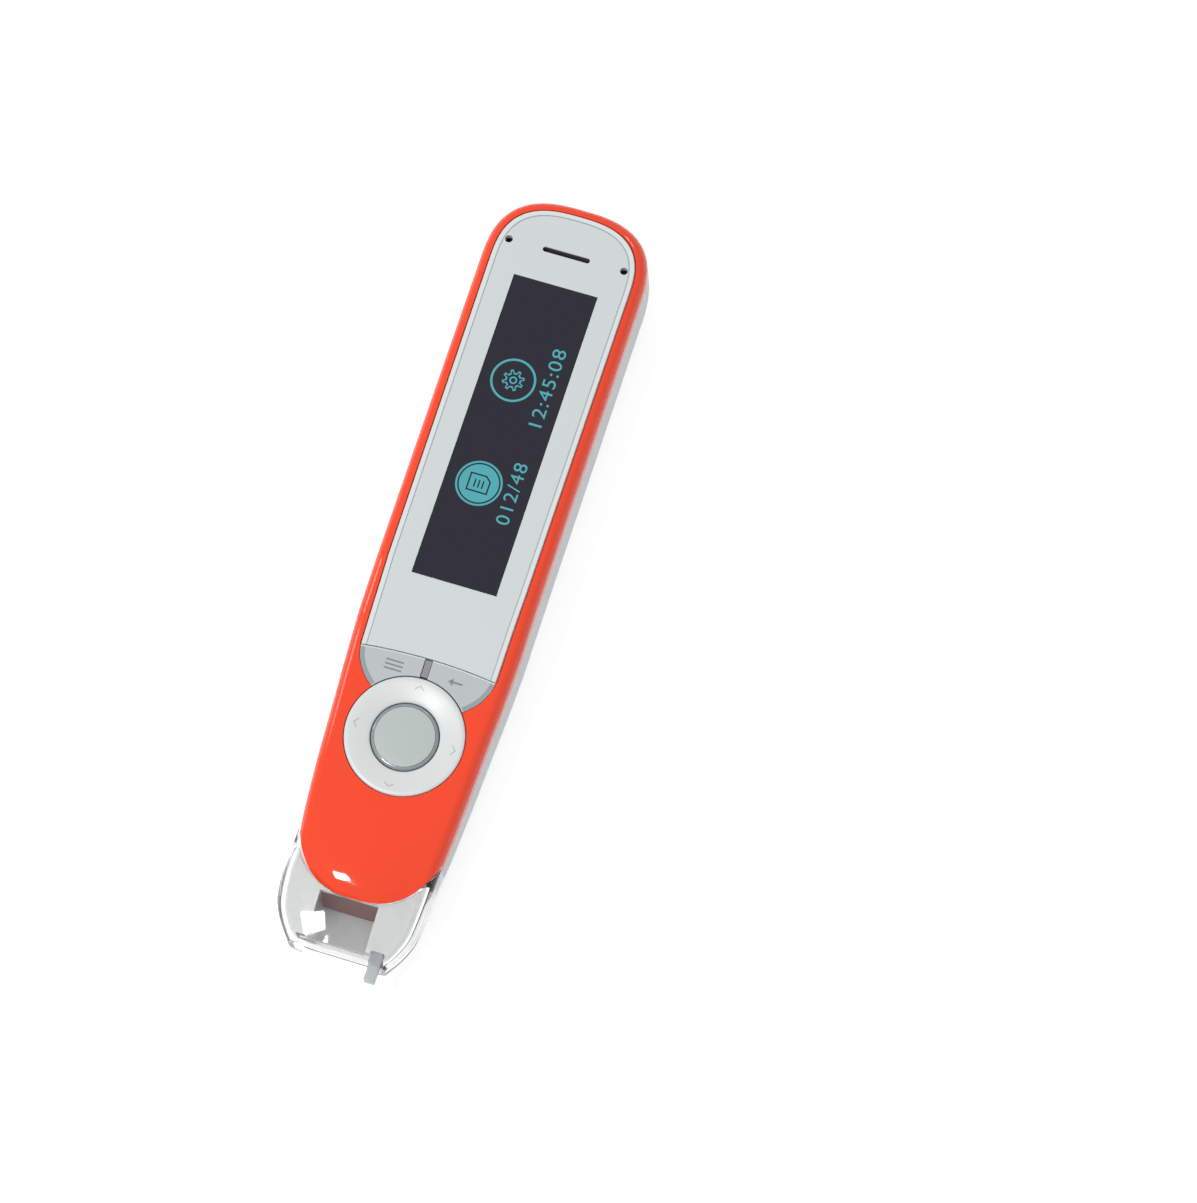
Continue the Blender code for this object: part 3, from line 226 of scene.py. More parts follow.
def makeGlow(name, colour, strength):
    deep = [part * 0.8 for part in colour]
    material, shader, skin = startMaterial(name, "plastic", {
        "Colour": (*colour, 1), "Deep Tone": (*deep, 1), "Blotch Scale": 5000.0, "Blotch": 0.5,
        "Roughness": 0.4, "Smudge": 0.0})
    feed(shader, {"Emission Color": skin["Colour"], "Roughness": skin["Roughness"],
                  "Base Color": (0.01, 0.02, 0.02, 1), "Emission Strength": strength})
    return material


finishes = {
    "orange_gloss": makePlastic("orangeGloss", (0.97, 0.062, 0.014), (0.92, 0.050, 0.010), 0.055, smudge=0.06,
                                scratches=0.08, specular=0.35),
    "white_gloss": makePlastic("whiteGloss", (0.78, 0.79, 0.78), (0.72, 0.735, 0.73), 0.28, scratches=0.08,
                               coat=0.1, coatRoughness=0.2),
    "panel_white": makePlastic("panelWhite", (0.67, 0.715, 0.72), (0.64, 0.69, 0.70), 0.13, grain=0.2,
                               scratches=0.06, specular=0.4),
    "key_grey": makePlastic("keyGrey", (0.51, 0.545, 0.55), (0.46, 0.50, 0.505), 0.28, grain=0.6, bump=0.2,
                            specular=0.4),
    "ring_white": makePlastic("ringWhite", (0.72, 0.75, 0.745), (0.67, 0.705, 0.70), 0.34, grain=0.7, bump=0.25,
                              specular=0.4),
    "button_clear": makePlastic("buttonClear", (0.49, 0.545, 0.53), (0.44, 0.50, 0.485), 0.16, coat=0.6,
                                coatRoughness=0.05),
    "clear_plastic": makePlastic("clearPlastic", (0.91, 0.915, 0.92), (0.885, 0.895, 0.90), 0.03, blotch=0.2,
                                 grain=0.1, smudge=0.05, bump=0.05, clear=1.0, refraction=1.32),
    "smoked_plastic": makePlastic("smokedPlastic", (0.20, 0.062, 0.052), (0.16, 0.048, 0.042), 0.14, smudge=0.05,
                                  clear=0.05, refraction=1.4),
    "nib_grey": makePlastic("nibGrey", (0.58, 0.62, 0.62), (0.50, 0.54, 0.55), 0.22, grain=0.5, clear=0.25,
                            refraction=1.49),
    "window_dark": makePlastic("windowDark", (0.007, 0.006, 0.019), (0.005, 0.005, 0.015), 0.06, grain=0.1,
                               smudge=0.05, bump=0.05, specular=0.36),
    "display_glass": makePlastic("displayGlass", (0.010, 0.010, 0.016), (0.006, 0.006, 0.010), 0.06,
                                 smudge=0.05),
    "inner_grey": makePlastic("innerGrey", (0.10, 0.10, 0.11), (0.07, 0.07, 0.08), 0.50, grain=0.9, bump=0.3),
    "silicone": makePlastic("silicone", (0.30, 0.31, 0.31), (0.25, 0.26, 0.26), 0.60, grain=0.8, bump=0.3),
    "foam": makePlastic("foam", (0.03, 0.03, 0.03), (0.015, 0.015, 0.015), 0.92, grain=1.0, bump=0.8,
                        grainScale=2500.0),
    "board_green": makePrinted("boardGreen", "traces", {"Roughness": 0.4, "Coat Weight": 0.3}),
    "chip_black": makePlastic("chipBlack", (0.022, 0.022, 0.022), (0.012, 0.012, 0.012), 0.42, grain=0.9,
                              bump=0.4),
    "bright_metal": makeMetal("brightMetal", (0.66, 0.66, 0.67), (0.50, 0.50, 0.52), 0.24),
    "spring_steel": makeMetal("springSteel", (0.55, 0.55, 0.56), (0.40, 0.40, 0.42), 0.22),
    "ribbon": makePrinted("ribbonCopper", "stripes", {"Roughness": 0.35}),
    "battery_foil": makeMetal("batteryFoil", (0.55, 0.56, 0.58), (0.45, 0.46, 0.48), 0.36),
    "lamp": makePlastic("lampYellow", (0.85, 0.80, 0.60), (0.80, 0.72, 0.45), 0.20),
}
displayTeal = makeGlow("displayTeal", (0.045, 0.42, 0.48), 0.85)
printGrey = makePlastic("printGrey", (0.20, 0.22, 0.24), (0.17, 0.19, 0.21), 0.45)
arrowGrey = makePlastic("arrowGrey", (0.46, 0.49, 0.50), (0.42, 0.45, 0.46), 0.45)

slotOf = {part["node"]: part["material_slot"] for part in frame["record"]["subparts"]}
bodyOf = {name: body for body, members in frame["record"]["behaviour"]["bodies"].items() for name in members}
for name, node in nodes.items():
    node.data.materials.clear()
    node.data.materials.append(finishes[slotOf[name]])
print("materials built:", len(bpy.data.materials))


# Forms are in millimetres, meshes in metres

def placeThing(name, data):
    thing = bpy.data.objects.new(name, data)
    scene.collection.objects.link(thing)
    return thing


def settledMesh(thing):
    # The object's mesh with its modifiers applied; the object goes
    bpy.context.view_layer.update()
    mesh = bpy.data.meshes.new_from_object(thing.evaluated_get(bpy.context.evaluated_depsgraph_get()))
    bpy.data.objects.remove(thing)
    return mesh


def meshToForm(mesh):
    form = bmesh.new()
    form.from_mesh(mesh)
    return form


def closeForm(name, form):
    mesh = bpy.data.meshes.new(name)
    form.to_mesh(mesh)
    form.free()
    return mesh


def formToMesh(name, form, place=None):
    # Welded, faces outwards; a mesh stays as it is
    if isinstance(form, bpy.types.Mesh):
        return form
    if place is not None:
        bmesh.ops.transform(form, matrix=place, verts=form.verts)
    bmesh.ops.scale(form, vec=(mm, mm, mm), verts=form.verts)
    bmesh.ops.remove_doubles(form, verts=form.verts, dist=1e-8)
    bmesh.ops.recalc_face_normals(form, faces=form.faces)
    return closeForm(name, form)


def weldedMesh(nodeName):
    form = meshToForm(nodes[nodeName].data)
    bmesh.ops.remove_doubles(form, verts=form.verts, dist=1e-6)
    bmesh.ops.dissolve_limit(form, angle_limit=math.radians(0.4), verts=form.verts, edges=form.edges)
    return closeForm(nodeName, form)


def carve(form, tools):
    # Exact booleans, applied at once; a tool is cut away unless it comes as (operation, form)
    work = placeThing("work", formToMesh("work", form))
    helpers = []
    for tool in tools:
        operation, toolForm = tool if isinstance(tool, tuple) else ("DIFFERENCE", tool)
        helpers.append(placeThing("helper", formToMesh("tool", toolForm)))
        change = work.modifiers.new("carve", "BOOLEAN")
        change.operation = operation
        change.solver = "EXACT"
        change.object = helpers[-1]
    carved = settledMesh(work)
    for helper in helpers:
        bpy.data.objects.remove(helper)
    return carved


def finishPiece(name, form, body, slot, material=None, stands=(), place=None, sharp=35, rounding=0.0,
                segments=2, angle=40):
    mesh = formToMesh(name, form, place)
    for polygon in mesh.polygons:
        polygon.use_smooth = True
    mesh.set_sharp_from_angle(angle=math.radians(sharp))
    mesh.materials.clear()
    mesh.materials.append(material or finishes[slot])
    piece = placeThing(name, mesh)
    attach(piece, body)
    if stands:
        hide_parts(*stands)
    if rounding:
        bevel = piece.modifiers.new("edges", "BEVEL")
        bevel.width = rounding * mm
        bevel.segments = segments
        bevel.limit_method = "ANGLE"
        bevel.angle_limit = math.radians(angle)
        bevel.harden_normals = True
        piece.modifiers.new("even", "WEIGHTED_NORMAL").keep_sharp = True


# The pen's own curves, along its length from the top end to the tip

casing = {"topY": 67.5, "sharesFrom": 66.95, "endY": -64.15, "shoulder": 13.05, "halfWidth": 14.0,
          "faceHeight": 18.8, "fullness": 2.75, "roundWidth": 1.9, "roundHeight": 2.6, "rearRound": 5.4,
          "rearShare": 0.55, "seamDepth": 3.2, "seamGap": 0.12, "crown": 1.0, "straightShare": 0.51,
          "rimWidth": 1.5, "wall": 1.2, "roundSteps": 10, "arcSteps": 26, "pitch": 0.9,
          "archHalf": 13.202, "archDepth": 20.2, "archY": -35.1, "archBend": 0.8,
          "panelProud": 0.2, "leastRound": 0.3,
          "sides": ((0.585, 1.0), (0.646, 0.979), (0.706, 0.950), (0.767, 0.925), (0.835, 0.886),
                    (0.880, 0.848), (0.926, 0.823), (0.952, 0.797), (0.971, 0.736), (1.0, 0.574)),
          "drops": ((0.51, 0.0), (0.563, 0.026), (0.616, 0.066), (0.716, 0.124), (0.812, 0.179),
                    (0.880, 0.223), (0.926, 0.263), (1.0, 0.345)),
          "rises": ((0.0, 0.040), (0.07, 0.0), (0.63, 0.0), (0.72, 0.016), (0.835, 0.066), (0.926, 0.119),
                    (1.0, 0.190)),
          "crowns": ((0.78, 0.0), (0.90, 1.0)),
          "panelSides": ((0.39, 1.0), (0.465, 0.992), (0.54, 0.971), (0.585, 0.963), (0.63, 0.955))}
lip = {"width": 5.0, "drop": 0.95, "bend": 2.5, "start": 3, "growth": 10, "edge": 1.0, "edgeGrowth": 3}
coverEnd = {"rollFrom": -56, "rollLength": 8.15, "rollDrop": 0.454, "leanFrom": -50, "leanLength": 5,
            "lean": 1.17, "stillFrom": -55.0}
shoulderY = casing["topY"] - casing["shoulder"]
bodyPlan = {"half": casing["halfWidth"], "shoulder": casing["shoulder"], "table": casing["sides"]}
panelPlan = {"half": 12.1, "shoulder": 11.0, "table": casing["panelSides"]}

# How far the tools reach beyond what they cut
beyond = {"near": 3, "far": 4, "below": -4, "above": 24, "boxAbove": 23, "tipY": -68, "tipEnd": -70,
          "archTop": -30}


def smoothValue(table, place):
    # Smooth curve through the table's points that never overshoots them
    if place <= table[0][0]:
        return table[0][1]
    if place >= table[-1][0]:
        return table[-1][1]
    steps = [(b[1] - a[1]) / (b[0] - a[0]) for a, b in zip(table, table[1:])]
    slopes = [steps[0]]
    for before, after in zip(steps, steps[1:]):
        slopes.append(0.0 if before * after <= 0 else 2 * before * after / (before + after))
    slopes.append(steps[-1])
    for i, (a, b) in enumerate(zip(table, table[1:])):
        if place <= b[0]:
            span = b[0] - a[0]
            t = (place - a[0]) / span
            return (a[1] * (2 * t ** 3 - 3 * t ** 2 + 1) + slopes[i] * span * (t ** 3 - 2 * t ** 2 + t)
                    + b[1] * (3 * t ** 2 - 2 * t ** 3) + slopes[i + 1] * span * (t ** 3 - t ** 2))


def limited(value):
    return min(max(value, 0.0), 1.0)


def shareAt(y):
    return (casing["sharesFrom"] - y) / (casing["sharesFrom"] - casing["endY"])


def faceZ(y):
    return casing["faceHeight"] * (1 - smoothValue(casing["drops"], shareAt(y)))


def panelZ(y):
    return faceZ(y) + casing["panelProud"]


def backZ(y):
    return casing["faceHeight"] * smoothValue(casing["rises"], shareAt(y))


def crownAt(y):
    return casing["crown"] * smoothValue(casing["crowns"], shareAt(y))


def seamZ(y):
    return faceZ(y) - crownAt(y) - casing["seamDepth"]


def planHalf(plan, y, inset=0.0):
    if y <= shoulderY:
        return plan["half"] * smoothValue(plan["table"], shareAt(y)) - inset
    rise = min((y - shoulderY) / (plan["shoulder"] - inset), 1.0)
    return (plan["half"] - inset) * (1 - rise ** casing["fullness"]) ** (1 / casing["fullness"])


def crownedFace(x, y):
    return faceZ(y) - crownAt(y) * (x / planHalf(bodyPlan, min(y, shoulderY))) ** 2


def coverFace(x, y):
    # The clear cover rolls down a little toward its open end, and its crown leans to the left
    roll = max((coverEnd["rollFrom"] - y) / coverEnd["rollLength"], 0.0)
    lean = coverEnd["lean"] * limited((coverEnd["leanFrom"] - y) / coverEnd["leanLength"])
    still = max(y, coverEnd["stillFrom"])
    return crownedFace(x + lean, still) + faceZ(y) - faceZ(still) - coverEnd["rollDrop"] * roll ** 2


def lippedFace(x, y):
    # The face, rolled down toward the frame's lower edge
    if y >= casing["archY"]:
        return crownedFace(x, y)
    reach = ((abs(x) / casing["archHalf"]) ** lip["bend"]
             + ((casing["archY"] - y) / casing["archDepth"]) ** lip["bend"])
    inward = max(1 - reach ** (1 / lip["bend"]), 0.0) * casing["archDepth"]
    roll = max(1 - inward / lip["width"], 0.0)
    near = limited((casing["archY"] - lip["start"] - y) / lip["growth"])
    aside = limited((planHalf(bodyPlan, y) - abs(x) - lip["edge"]) / lip["edgeGrowth"])
    return crownedFace(x, y) - lip["drop"] * near * aside * (1 - math.sqrt(1 - roll ** 2))


def level(inset, height, lift=0.0):
    return (inset, lambda x, y: height(y) + lift)


def rearRings(inset, depth):
    rings = []
    across = casing["rearRound"] - inset / 2
    for step in range(casing["roundSteps"] + 1):
        turn = math.pi / 2 * (1 - step / casing["roundSteps"])
        lift = casing["rearShare"] * (1 - math.sin(turn))
        rings.append((inset + across * (1 - math.cos(turn)), lambda x, y, lift=lift: (
            backZ(y) + depth + (seamZ(y) - backZ(y) - depth) * lift)))
    return rings


def frontRings(inset, depth, face=crownedFace):
    rings = []
    across = max(casing["roundWidth"] - inset, casing["leastRound"])
    down = max(casing["roundHeight"] - depth, casing["leastRound"])
    for step in range(casing["roundSteps"] + 1):
        turn = math.pi / 2 * step / casing["roundSteps"]
        drop = depth + down * (1 - math.sin(turn))
        rings.append((inset + across * (1 - math.cos(turn)), lambda x, y, drop=drop: face(x, y) - drop))
    return rings


# Closed forms from outlines and profiles

def outlineRows(plan, inset, lowY, highY):
    rows = []
    if highY is None:
        bend = 2 / casing["fullness"]
        for step in range(casing["arcSteps"]):
            turn = math.pi / 2 * step / casing["arcSteps"]
            rows.append(((plan["half"] - inset) * math.sin(turn) ** bend,
                         shoulderY + (plan["shoulder"] - inset) * math.cos(turn) ** bend))
        rows.append((planHalf(plan, shoulderY, inset), shoulderY))
        highY = casing["sharesFrom"] - casing["straightShare"] * (casing["sharesFrom"] - casing["endY"])
    count = max(1, round((highY - lowY) / casing["pitch"]))
    for step in range(count + 1):
        y = highY + (lowY - highY) * step / count
        rows.append((planHalf(plan, y, inset), y))
    return rows


def stackForm(plan, rings, lowY, highY=None, columns=()):
    # Skin over a stack of outlines, closed below and above
    form = bmesh.new()
    loops = []
    for inset, height in rings:
        rows = outlineRows(plan, inset, lowY, highY)
        pole = []
        if highY is None:
            pole = [form.verts.new((0, rows[0][1], height(0, rows[0][1])))]
            rows = rows[1:]
        right = [form.verts.new((x, y, height(x, y))) for x, y in rows]
        left = [form.verts.new((-x, y, height(x, y))) for x, y in rows]
        loops.append((pole, right, left))
    top, bottom = loops[-1], loops[0]
    topHeight = rings[-1][1]
    grid = []
    for a, b in zip(top[2], top[1]):
        x, y = b.co.x, b.co.y
        inner = [form.verts.new((x * share, y, topHeight(x * share, y))) for share in columns]
        grid.append([a] + inner + [b])
    for upper, lower in zip(grid, grid[1:]):
        for i in range(len(upper) - 1):
            form.faces.new((upper[i], lower[i], lower[i + 1], upper[i + 1]))
    if top[0]:
        for a, b in zip(grid[0], grid[0][1:]):
            form.faces.new((top[0][0], a, b))
    for i in range(len(bottom[1]) - 1):
        form.faces.new((bottom[2][i], bottom[1][i], bottom[1][i + 1], bottom[2][i + 1]))
    if bottom[0]:
        form.faces.new((bottom[0][0], bottom[1][0], bottom[2][0]))
    for number, (lower, upper) in enumerate(zip(loops, loops[1:])):
        last = number == len(loops) - 2
        for side in (1, 2):
            for i in range(len(lower[side]) - 1):
                form.faces.new((lower[side][i], lower[side][i + 1], upper[side][i + 1], upper[side][i]))
            if lower[0]:
                form.faces.new((lower[0][0], lower[side][0], upper[side][0], upper[0][0]))
        foot = grid[-1] if last else [upper[2][-1], upper[1][-1]]
        form.faces.new(foot + [lower[1][-1], lower[2][-1]])
        if not lower[0]:
            head = grid[0] if last else [upper[2][0], upper[1][0]]
            form.faces.new(head + [lower[1][0], lower[2][0]])
    return form


def prismForm(points, lowZ, highZ):
    form = bmesh.new()
    base = form.faces.new([form.verts.new((x, y, lowZ)) for x, y in points])
    raised = bmesh.ops.extrude_face_region(form, geom=[base])
    bmesh.ops.translate(form, verts=[v for v in raised["geom"] if isinstance(v, bmesh.types.BMVert)],
                        vec=(0, 0, highZ - lowZ))
    return form


def rectangle(lowX, lowY, highX, highY):
    return [(lowX, lowY), (highX, lowY), (highX, highY), (lowX, highY)]


def boxForm(low, high):
    return prismForm(rectangle(low[0], low[1], high[0], high[1]), low[2], high[2])


def barForm(x, y, width, height, lowZ, highZ):
    outline = rectangle(x - width / 2, y - height / 2, x + width / 2, y + height / 2)
    return prismForm(outline, lowZ, highZ)


# Sides of the round forms, from screw holes to the ring
roundness = {"tiny": 32, "small": 48, "mid": 96, "fine": 128}


def circlePoints(radius, count, centre=(0, 0)):
    turns = [2 * math.pi * i / count for i in range(count)]
    return [(centre[0] + radius * math.cos(a), centre[1] + radius * math.sin(a)) for a in turns]


def loopedForm(loops, closed=True):
    # Band round four loops with the same number of points; an open one gets its end faces
    form = bmesh.new()
    rings = [[form.verts.new(point) for point in loop] for loop in loops]
    for a, b in zip(rings, rings[1:] + rings[:1]):
        for i in range(len(a) if closed else len(a) - 1):
            j = (i + 1) % len(a)
            form.faces.new((a[i], a[j], b[j], b[i]))
    if not closed:
        for end in (0, -1):
            form.faces.new([ring[end] for ring in rings])
    return form


def bandForm(outer, inner, lowZ, highZ):
    return loopedForm([[(x, y, z) for x, y in points]
                       for points, z in ((outer, lowZ), (outer, highZ), (inner, highZ), (inner, lowZ))])


def lathe(profile, count):
    # Closed (radius, z) profile turned about Z
    form = bmesh.new()
    rings = []
    for radius, z in profile:
        points = circlePoints(radius, count) if radius else [(0, 0)]
        rings.append([form.verts.new((x, y, z)) for x, y in points])
    pairs = list(zip(rings, rings[1:]))
    if len(rings[0]) > 1:
        pairs.append((rings[-1], rings[0]))
    for a, b in pairs:
        for i in range(count):
            j = (i + 1) % count
            corners = [a[i % len(a)], a[j % len(a)], b[j % len(b)], b[i % len(b)]]
            form.faces.new(list(dict.fromkeys(corners)))
    return form


def joinForms(forms):
    whole = bmesh.new()
    for form in forms:
        part = closeForm("part", form)
        whole.from_mesh(part)
        bpy.data.meshes.remove(part)
    return whole


# Geometry Nodes: trees are built here with named inputs, grown once and kept as plain meshes

def endTree(result, geometry, material):
    tree = result.id_data
    real = addNode(tree, "GeometryNodeRealizeInstances", {"Geometry": geometry})
    painted = addNode(tree, "GeometryNodeSetMaterial", {"Geometry": real.outputs[0], "Material": material})
    feed(result, {0: painted.outputs[0]})
    return tree


def growForm(tree, given):
    # The tree's result in millimetres
    holder = placeThing(tree.name, bpy.data.meshes.new(tree.name))
    change = holder.modifiers.new("grow", "NODES")
    change.node_group = tree
    for socket in tree.interface.items_tree:
        if socket.in_out == "INPUT" and socket.name in given:
            change[socket.identifier] = given[socket.name]
    return meshToForm(settledMesh(holder))


# Plane of the keys and the ring, tilted with the casing's face

ringSizes = {"y": -27.85, "radius": 9.9, "hole": 5.7, "tilt": 0.08102860, "crest": 9.2, "rise": 0.2,
             "dish": 0.65, "bend": 1.25}
ringPlace = (0, ringSizes["y"], faceZ(ringSizes["y"]))
keyPlane = Matrix.Translation(ringPlace) @ Matrix.Rotation(ringSizes["tilt"], 4, "X")
keySizes = {"halfWidth": 11.5, "reach": 9.2, "half": 0.65, "fromPanel": 13.3, "footArch": 0.8, "bandWidth": 0.75,
            "steps": 12}
panelFoot = -14.55


def onKeys(form):
    return formToMesh("tool", form, keyPlane)


def lyingAt(x, y, z):
    return Matrix.Translation((x, y, z)) @ Matrix.Rotation(math.pi / 2, 4, "X")


def panelSag(x):
    return keySizes["footArch"] * (x / panelPlan["half"]) ** 2


def keyOutline(side, margin, footGap, inner):
    # Along the panel's foot, then round the outer quarter ellipse to the split
    steps = keySizes["steps"]
    reach = keySizes["halfWidth"] + margin
    depth = keySizes["reach"] + margin
    first = math.asin((footGap + panelSag(reach)) / depth)
    last = math.acos(inner / reach)
    points = []
    for step in range(steps):
        x = inner + (reach * math.cos(first) - inner) * step / steps
        points.append((side * x, keySizes["fromPanel"] - footGap - panelSag(x)))
    for step in range(steps * 3 + 1):
        turn = first + (last - first) * step / (steps * 3)
        points.append((side * reach * math.cos(turn), keySizes["fromPanel"] - depth * math.sin(turn)))
    return points


def archTool(margin, farY, steps=64):
    # All that lies between the frame's arched lower edge and farY
    reach = casing["halfWidth"] + beyond["far"]
    points = [(-reach, casing["archY"])]
    for step in range(steps + 1):
        turn = math.pi * step / steps
        across = math.copysign(abs(math.cos(turn)) ** casing["archBend"], math.cos(turn))
        down = (casing["archDepth"] + margin) * math.sin(turn) ** casing["archBend"]
        points.append((-(casing["archHalf"] + margin) * across, casing["archY"] - down))
    points += [(reach, casing["archY"]), (reach, farY), (-reach, farY)]
    return prismForm(points, beyond["below"], beyond["above"])


# Casing: frame, panel with its speaker slot, rear shell

speaker = {"y": 58.25, "slotHalf": 4.1, "slotWidth": 0.9, "shadeOut": 0.02, "shadeIn": -0.07,
           "shadeLow": 17.68, "shadeHigh": 18.78, "sheetZ": 17.56, "holeRadius": 0.65, "roomRadius": 1.5,
           "roomLow": 16.0, "gasket": ((0.72, 16.45), (1.35, 16.45), (1.35, 17.74), (0.72, 17.74))}
soundPlaces = [(-10.0, speaker["y"]), (10.0, speaker["y"])]


def makeFrontFrame():
    sizes = {"gap": 0.12, "recess": 1.3, "ceiling": 2.1, "ledge": 1.3, "footY": -61.0, "recessFoot": -15.35,
             "cavityFoot": -40.2, "tipTop": -39.9, "keyGap": -0.3, "rounding": 0.14}
    gap, ledge, rim, wall = sizes["gap"], sizes["ledge"], casing["rimWidth"], casing["wall"]
    near, far = beyond["near"], beyond["far"]
    outer = stackForm(bodyPlan, [level(0.0, seamZ)] + frontRings(0.0, 0.0, lippedFace), sizes["footY"],
                      columns=[i / 16 for i in range(-15, 16)])
    keys = keyOutline(1, gap, sizes["keyGap"], 0.0) + keyOutline(-1, gap, sizes["keyGap"], 0.0)[-2:0:-1]
    tools = [stackForm(panelPlan, [level(-gap, faceZ, -sizes["recess"]), level(-gap, faceZ, near)],
                       sizes["recessFoot"]),
             stackForm(panelPlan, [level(ledge, seamZ, -near), level(ledge, faceZ, near)], panelFoot),
             stackForm(bodyPlan, [level(rim, seamZ, -near), level(rim, faceZ, -sizes["ceiling"])],
                       sizes["cavityFoot"]),
             stackForm(bodyPlan, [level(wall, seamZ, -near)] + frontRings(wall, wall), sizes["footY"] - near,
                       sizes["tipTop"], (-0.5, 0.0, 0.5)),
             onKeys(prismForm(circlePoints(ringSizes["radius"] + gap, roundness["fine"]), -far, far)),
             onKeys(prismForm(keys, -far, far)), archTool(0.0, beyond["tipEnd"])]
    tools += [prismForm(circlePoints(speaker["roomRadius"], roundness["small"], place), speaker["roomLow"],
                        beyond["boxAbove"]) for place in soundPlaces]
    finishPiece("frontFrame", carve(outer, tools), "casing", "orange_gloss", stands=("front_frame",),
                rounding=sizes["rounding"])


def slotOutline(margin):
    straight = speaker["slotHalf"] - speaker["slotWidth"] / 2
    radius = speaker["slotWidth"] / 2 + margin
    turns = [math.pi * i / 12 - math.pi / 2 for i in range(13)]
    points = [(straight + radius * math.cos(a), speaker["y"] + radius * math.sin(a)) for a in turns]
    return points + [(-x, 2 * speaker["y"] - y) for x, y in points]


def makeFrontPanel():
    sizes = {"thick": 1.0, "footY": -17.46, "window": (-7.27, -1.67, 7.27, 52.57), "lowZ": 5,
             "toolHalf": 15, "toolLow": -25, "rounding": 0.07,
             "rim": ((0.0, 0.42), (0.06, 0.25), (0.20, 0.13), (0.45, 0.08), (0.80, 0.06), (0.86, 0.12),
                     (0.96, 0.12), (1.03, 0.02), (1.12, 0.0))}
    rings = [level(0.0, faceZ, -sizes["thick"])] + [level(inset, panelZ, -drop) for inset, drop in sizes["rim"]]
    outer = stackForm(panelPlan, rings, sizes["footY"], columns=(-0.5, 0.0, 0.5))
    half, low = sizes["toolHalf"], sizes["toolLow"]
    foot = [(x / 4, panelFoot - panelSag(x / 4)) for x in range(-4 * half, 4 * half + 1)]
    foot += [(half, low), (-half, low)]
    # Painted shade: a dark sleeve over the slot's walls, for the shade inside the slot
    shadeLining = bandForm(slotOutline(speaker["shadeOut"]), slotOutline(speaker["shadeIn"]), speaker["shadeLow"],
                      speaker["shadeHigh"])
    finishPiece("slotShadeLining", shadeLining, "casing", "inner_grey")
    cuts = [foot, rectangle(*sizes["window"]), slotOutline(0.0)]
    cuts += [circlePoints(speaker["holeRadius"], roundness["tiny"], place) for place in soundPlaces]
    mesh = carve(outer, [prismForm(points, sizes["lowZ"], beyond["above"]) for points in cuts])
    finishPiece("frontPanel", mesh, "casing", "panel_white", stands=("front_panel",), sharp=30,
                rounding=sizes["rounding"], angle=50)


def makePanelEdge(name, outerInset, innerInset, lift, material):
    # Flat band that follows the panel's outline down to its foot; the two bands made from it are a painted
    # highlight and a painted shade line
    sizes = {"thick": 0.5, "footY": -15.2}
    loops = []
    for inset, drop in ((outerInset, sizes["thick"]), (outerInset, 0.0), (innerInset, 0.0),
                        (innerInset, sizes["thick"])):
        rows = outlineRows(panelPlan, inset, sizes["footY"], None)
        points = [(-x, y) for x, y in rows[:0:-1]] + rows
        loops.append([(x, y, panelZ(y) + lift - drop) for x, y in points])
    finishPiece(name, loopedForm(loops, closed=False), "casing", "panel_white", material)


def makeRearShell():
    sizes = {"footY": -61.0, "skin": 0.9, "core": 0.6, "wellRadius": 1.62, "wellLow": -3, "wellDepth": 5.5,
             "screwX": 10.5, "screwY": (53.25, -7.35), "mouth": ((-8.25, 56, 9.0), (-0.15, 72, 12.2)),
             "jack": (4.6, 72, 11.8), "jackRadius": 2.82, "jackLength": 16, "rounding": 0.12}
    foot, near = sizes["footY"], beyond["near"]

    def hollow(inset, lowY):
        rings = rearRings(inset, inset) + [level(inset, seamZ, near)]
        return stackForm(bodyPlan, rings, lowY)

    outer = stackForm(bodyPlan, rearRings(0.0, 0.0) + [level(0.0, seamZ, -casing["seamGap"])], foot)
    inside = carve(weldedMesh("rear_shell"), [("INTERSECT", hollow(sizes["core"], foot + 1))])
    tools = [hollow(sizes["skin"], foot - near), ("UNION", inside), boxForm(*sizes["mouth"])]
    for place in [(side * sizes["screwX"], y) for side in (-1, 1) for y in sizes["screwY"]]:
        well = circlePoints(sizes["wellRadius"], roundness["small"], place)
        tools.append(prismForm(well, sizes["wellLow"], sizes["wellDepth"]))
    jack = prismForm(circlePoints(sizes["jackRadius"], roundness["small"]), 0, sizes["jackLength"])
    tools += [formToMesh("tool", jack, lyingAt(*sizes["jack"])), archTool(0.0, beyond["tipEnd"])]
    # The rear shell wears the darker copy of the white plastic: painted shade
    finishPiece("rearShell", carve(outer, tools), "casing", "white_gloss", rearShadedWhite, ("rear_shell",),
                rounding=sizes["rounding"])


# Tip: clear cover, forked hood and smoked window

tipSizes = {"topY": -35.1, "hoodTop": -40.2, "hoodEnd": -62.4, "coverWall": 0.95, "hoodInset": 1.08,
            "hoodWall": 0.85, "hoodFloor": 0.45, "faceLow": 4.7, "faceTop": 11.35, "faceLean": 0.9,
            "notchY": -55.0, "notchLeft": -5.5, "notchRight": 4.4, "notchFloor": 6.0, "nibX": 6.35,
            "nibHalf": 1.1, "nibLow": 8.42, "nibHigh": 10.72, "nibOpenY": -61.95, "footLength": 0.95,
            "footStep": 0.8, "archGap": 0.12, "baffle": 0.4, "baffleGap": 0.3, "baffleEnd": 7.4,
            "plateGap": 0.12, "plateEnd": 1.0, "plateSlack": 0.1, "trimAcross": 20, "trimAlong": 5,
            "faceGap": 0.06, "faceProud": 0.17, "faceSink": 0.04, "notchGap": 0.15, "footLap": 0.2,
            "rounding": 0.16}
widening = {"by": 0.85, "fromX": -6, "acrossX": 4, "fromY": -43, "growth": 12}
tipColumns = [i / 10 for i in range(-9, 10)]


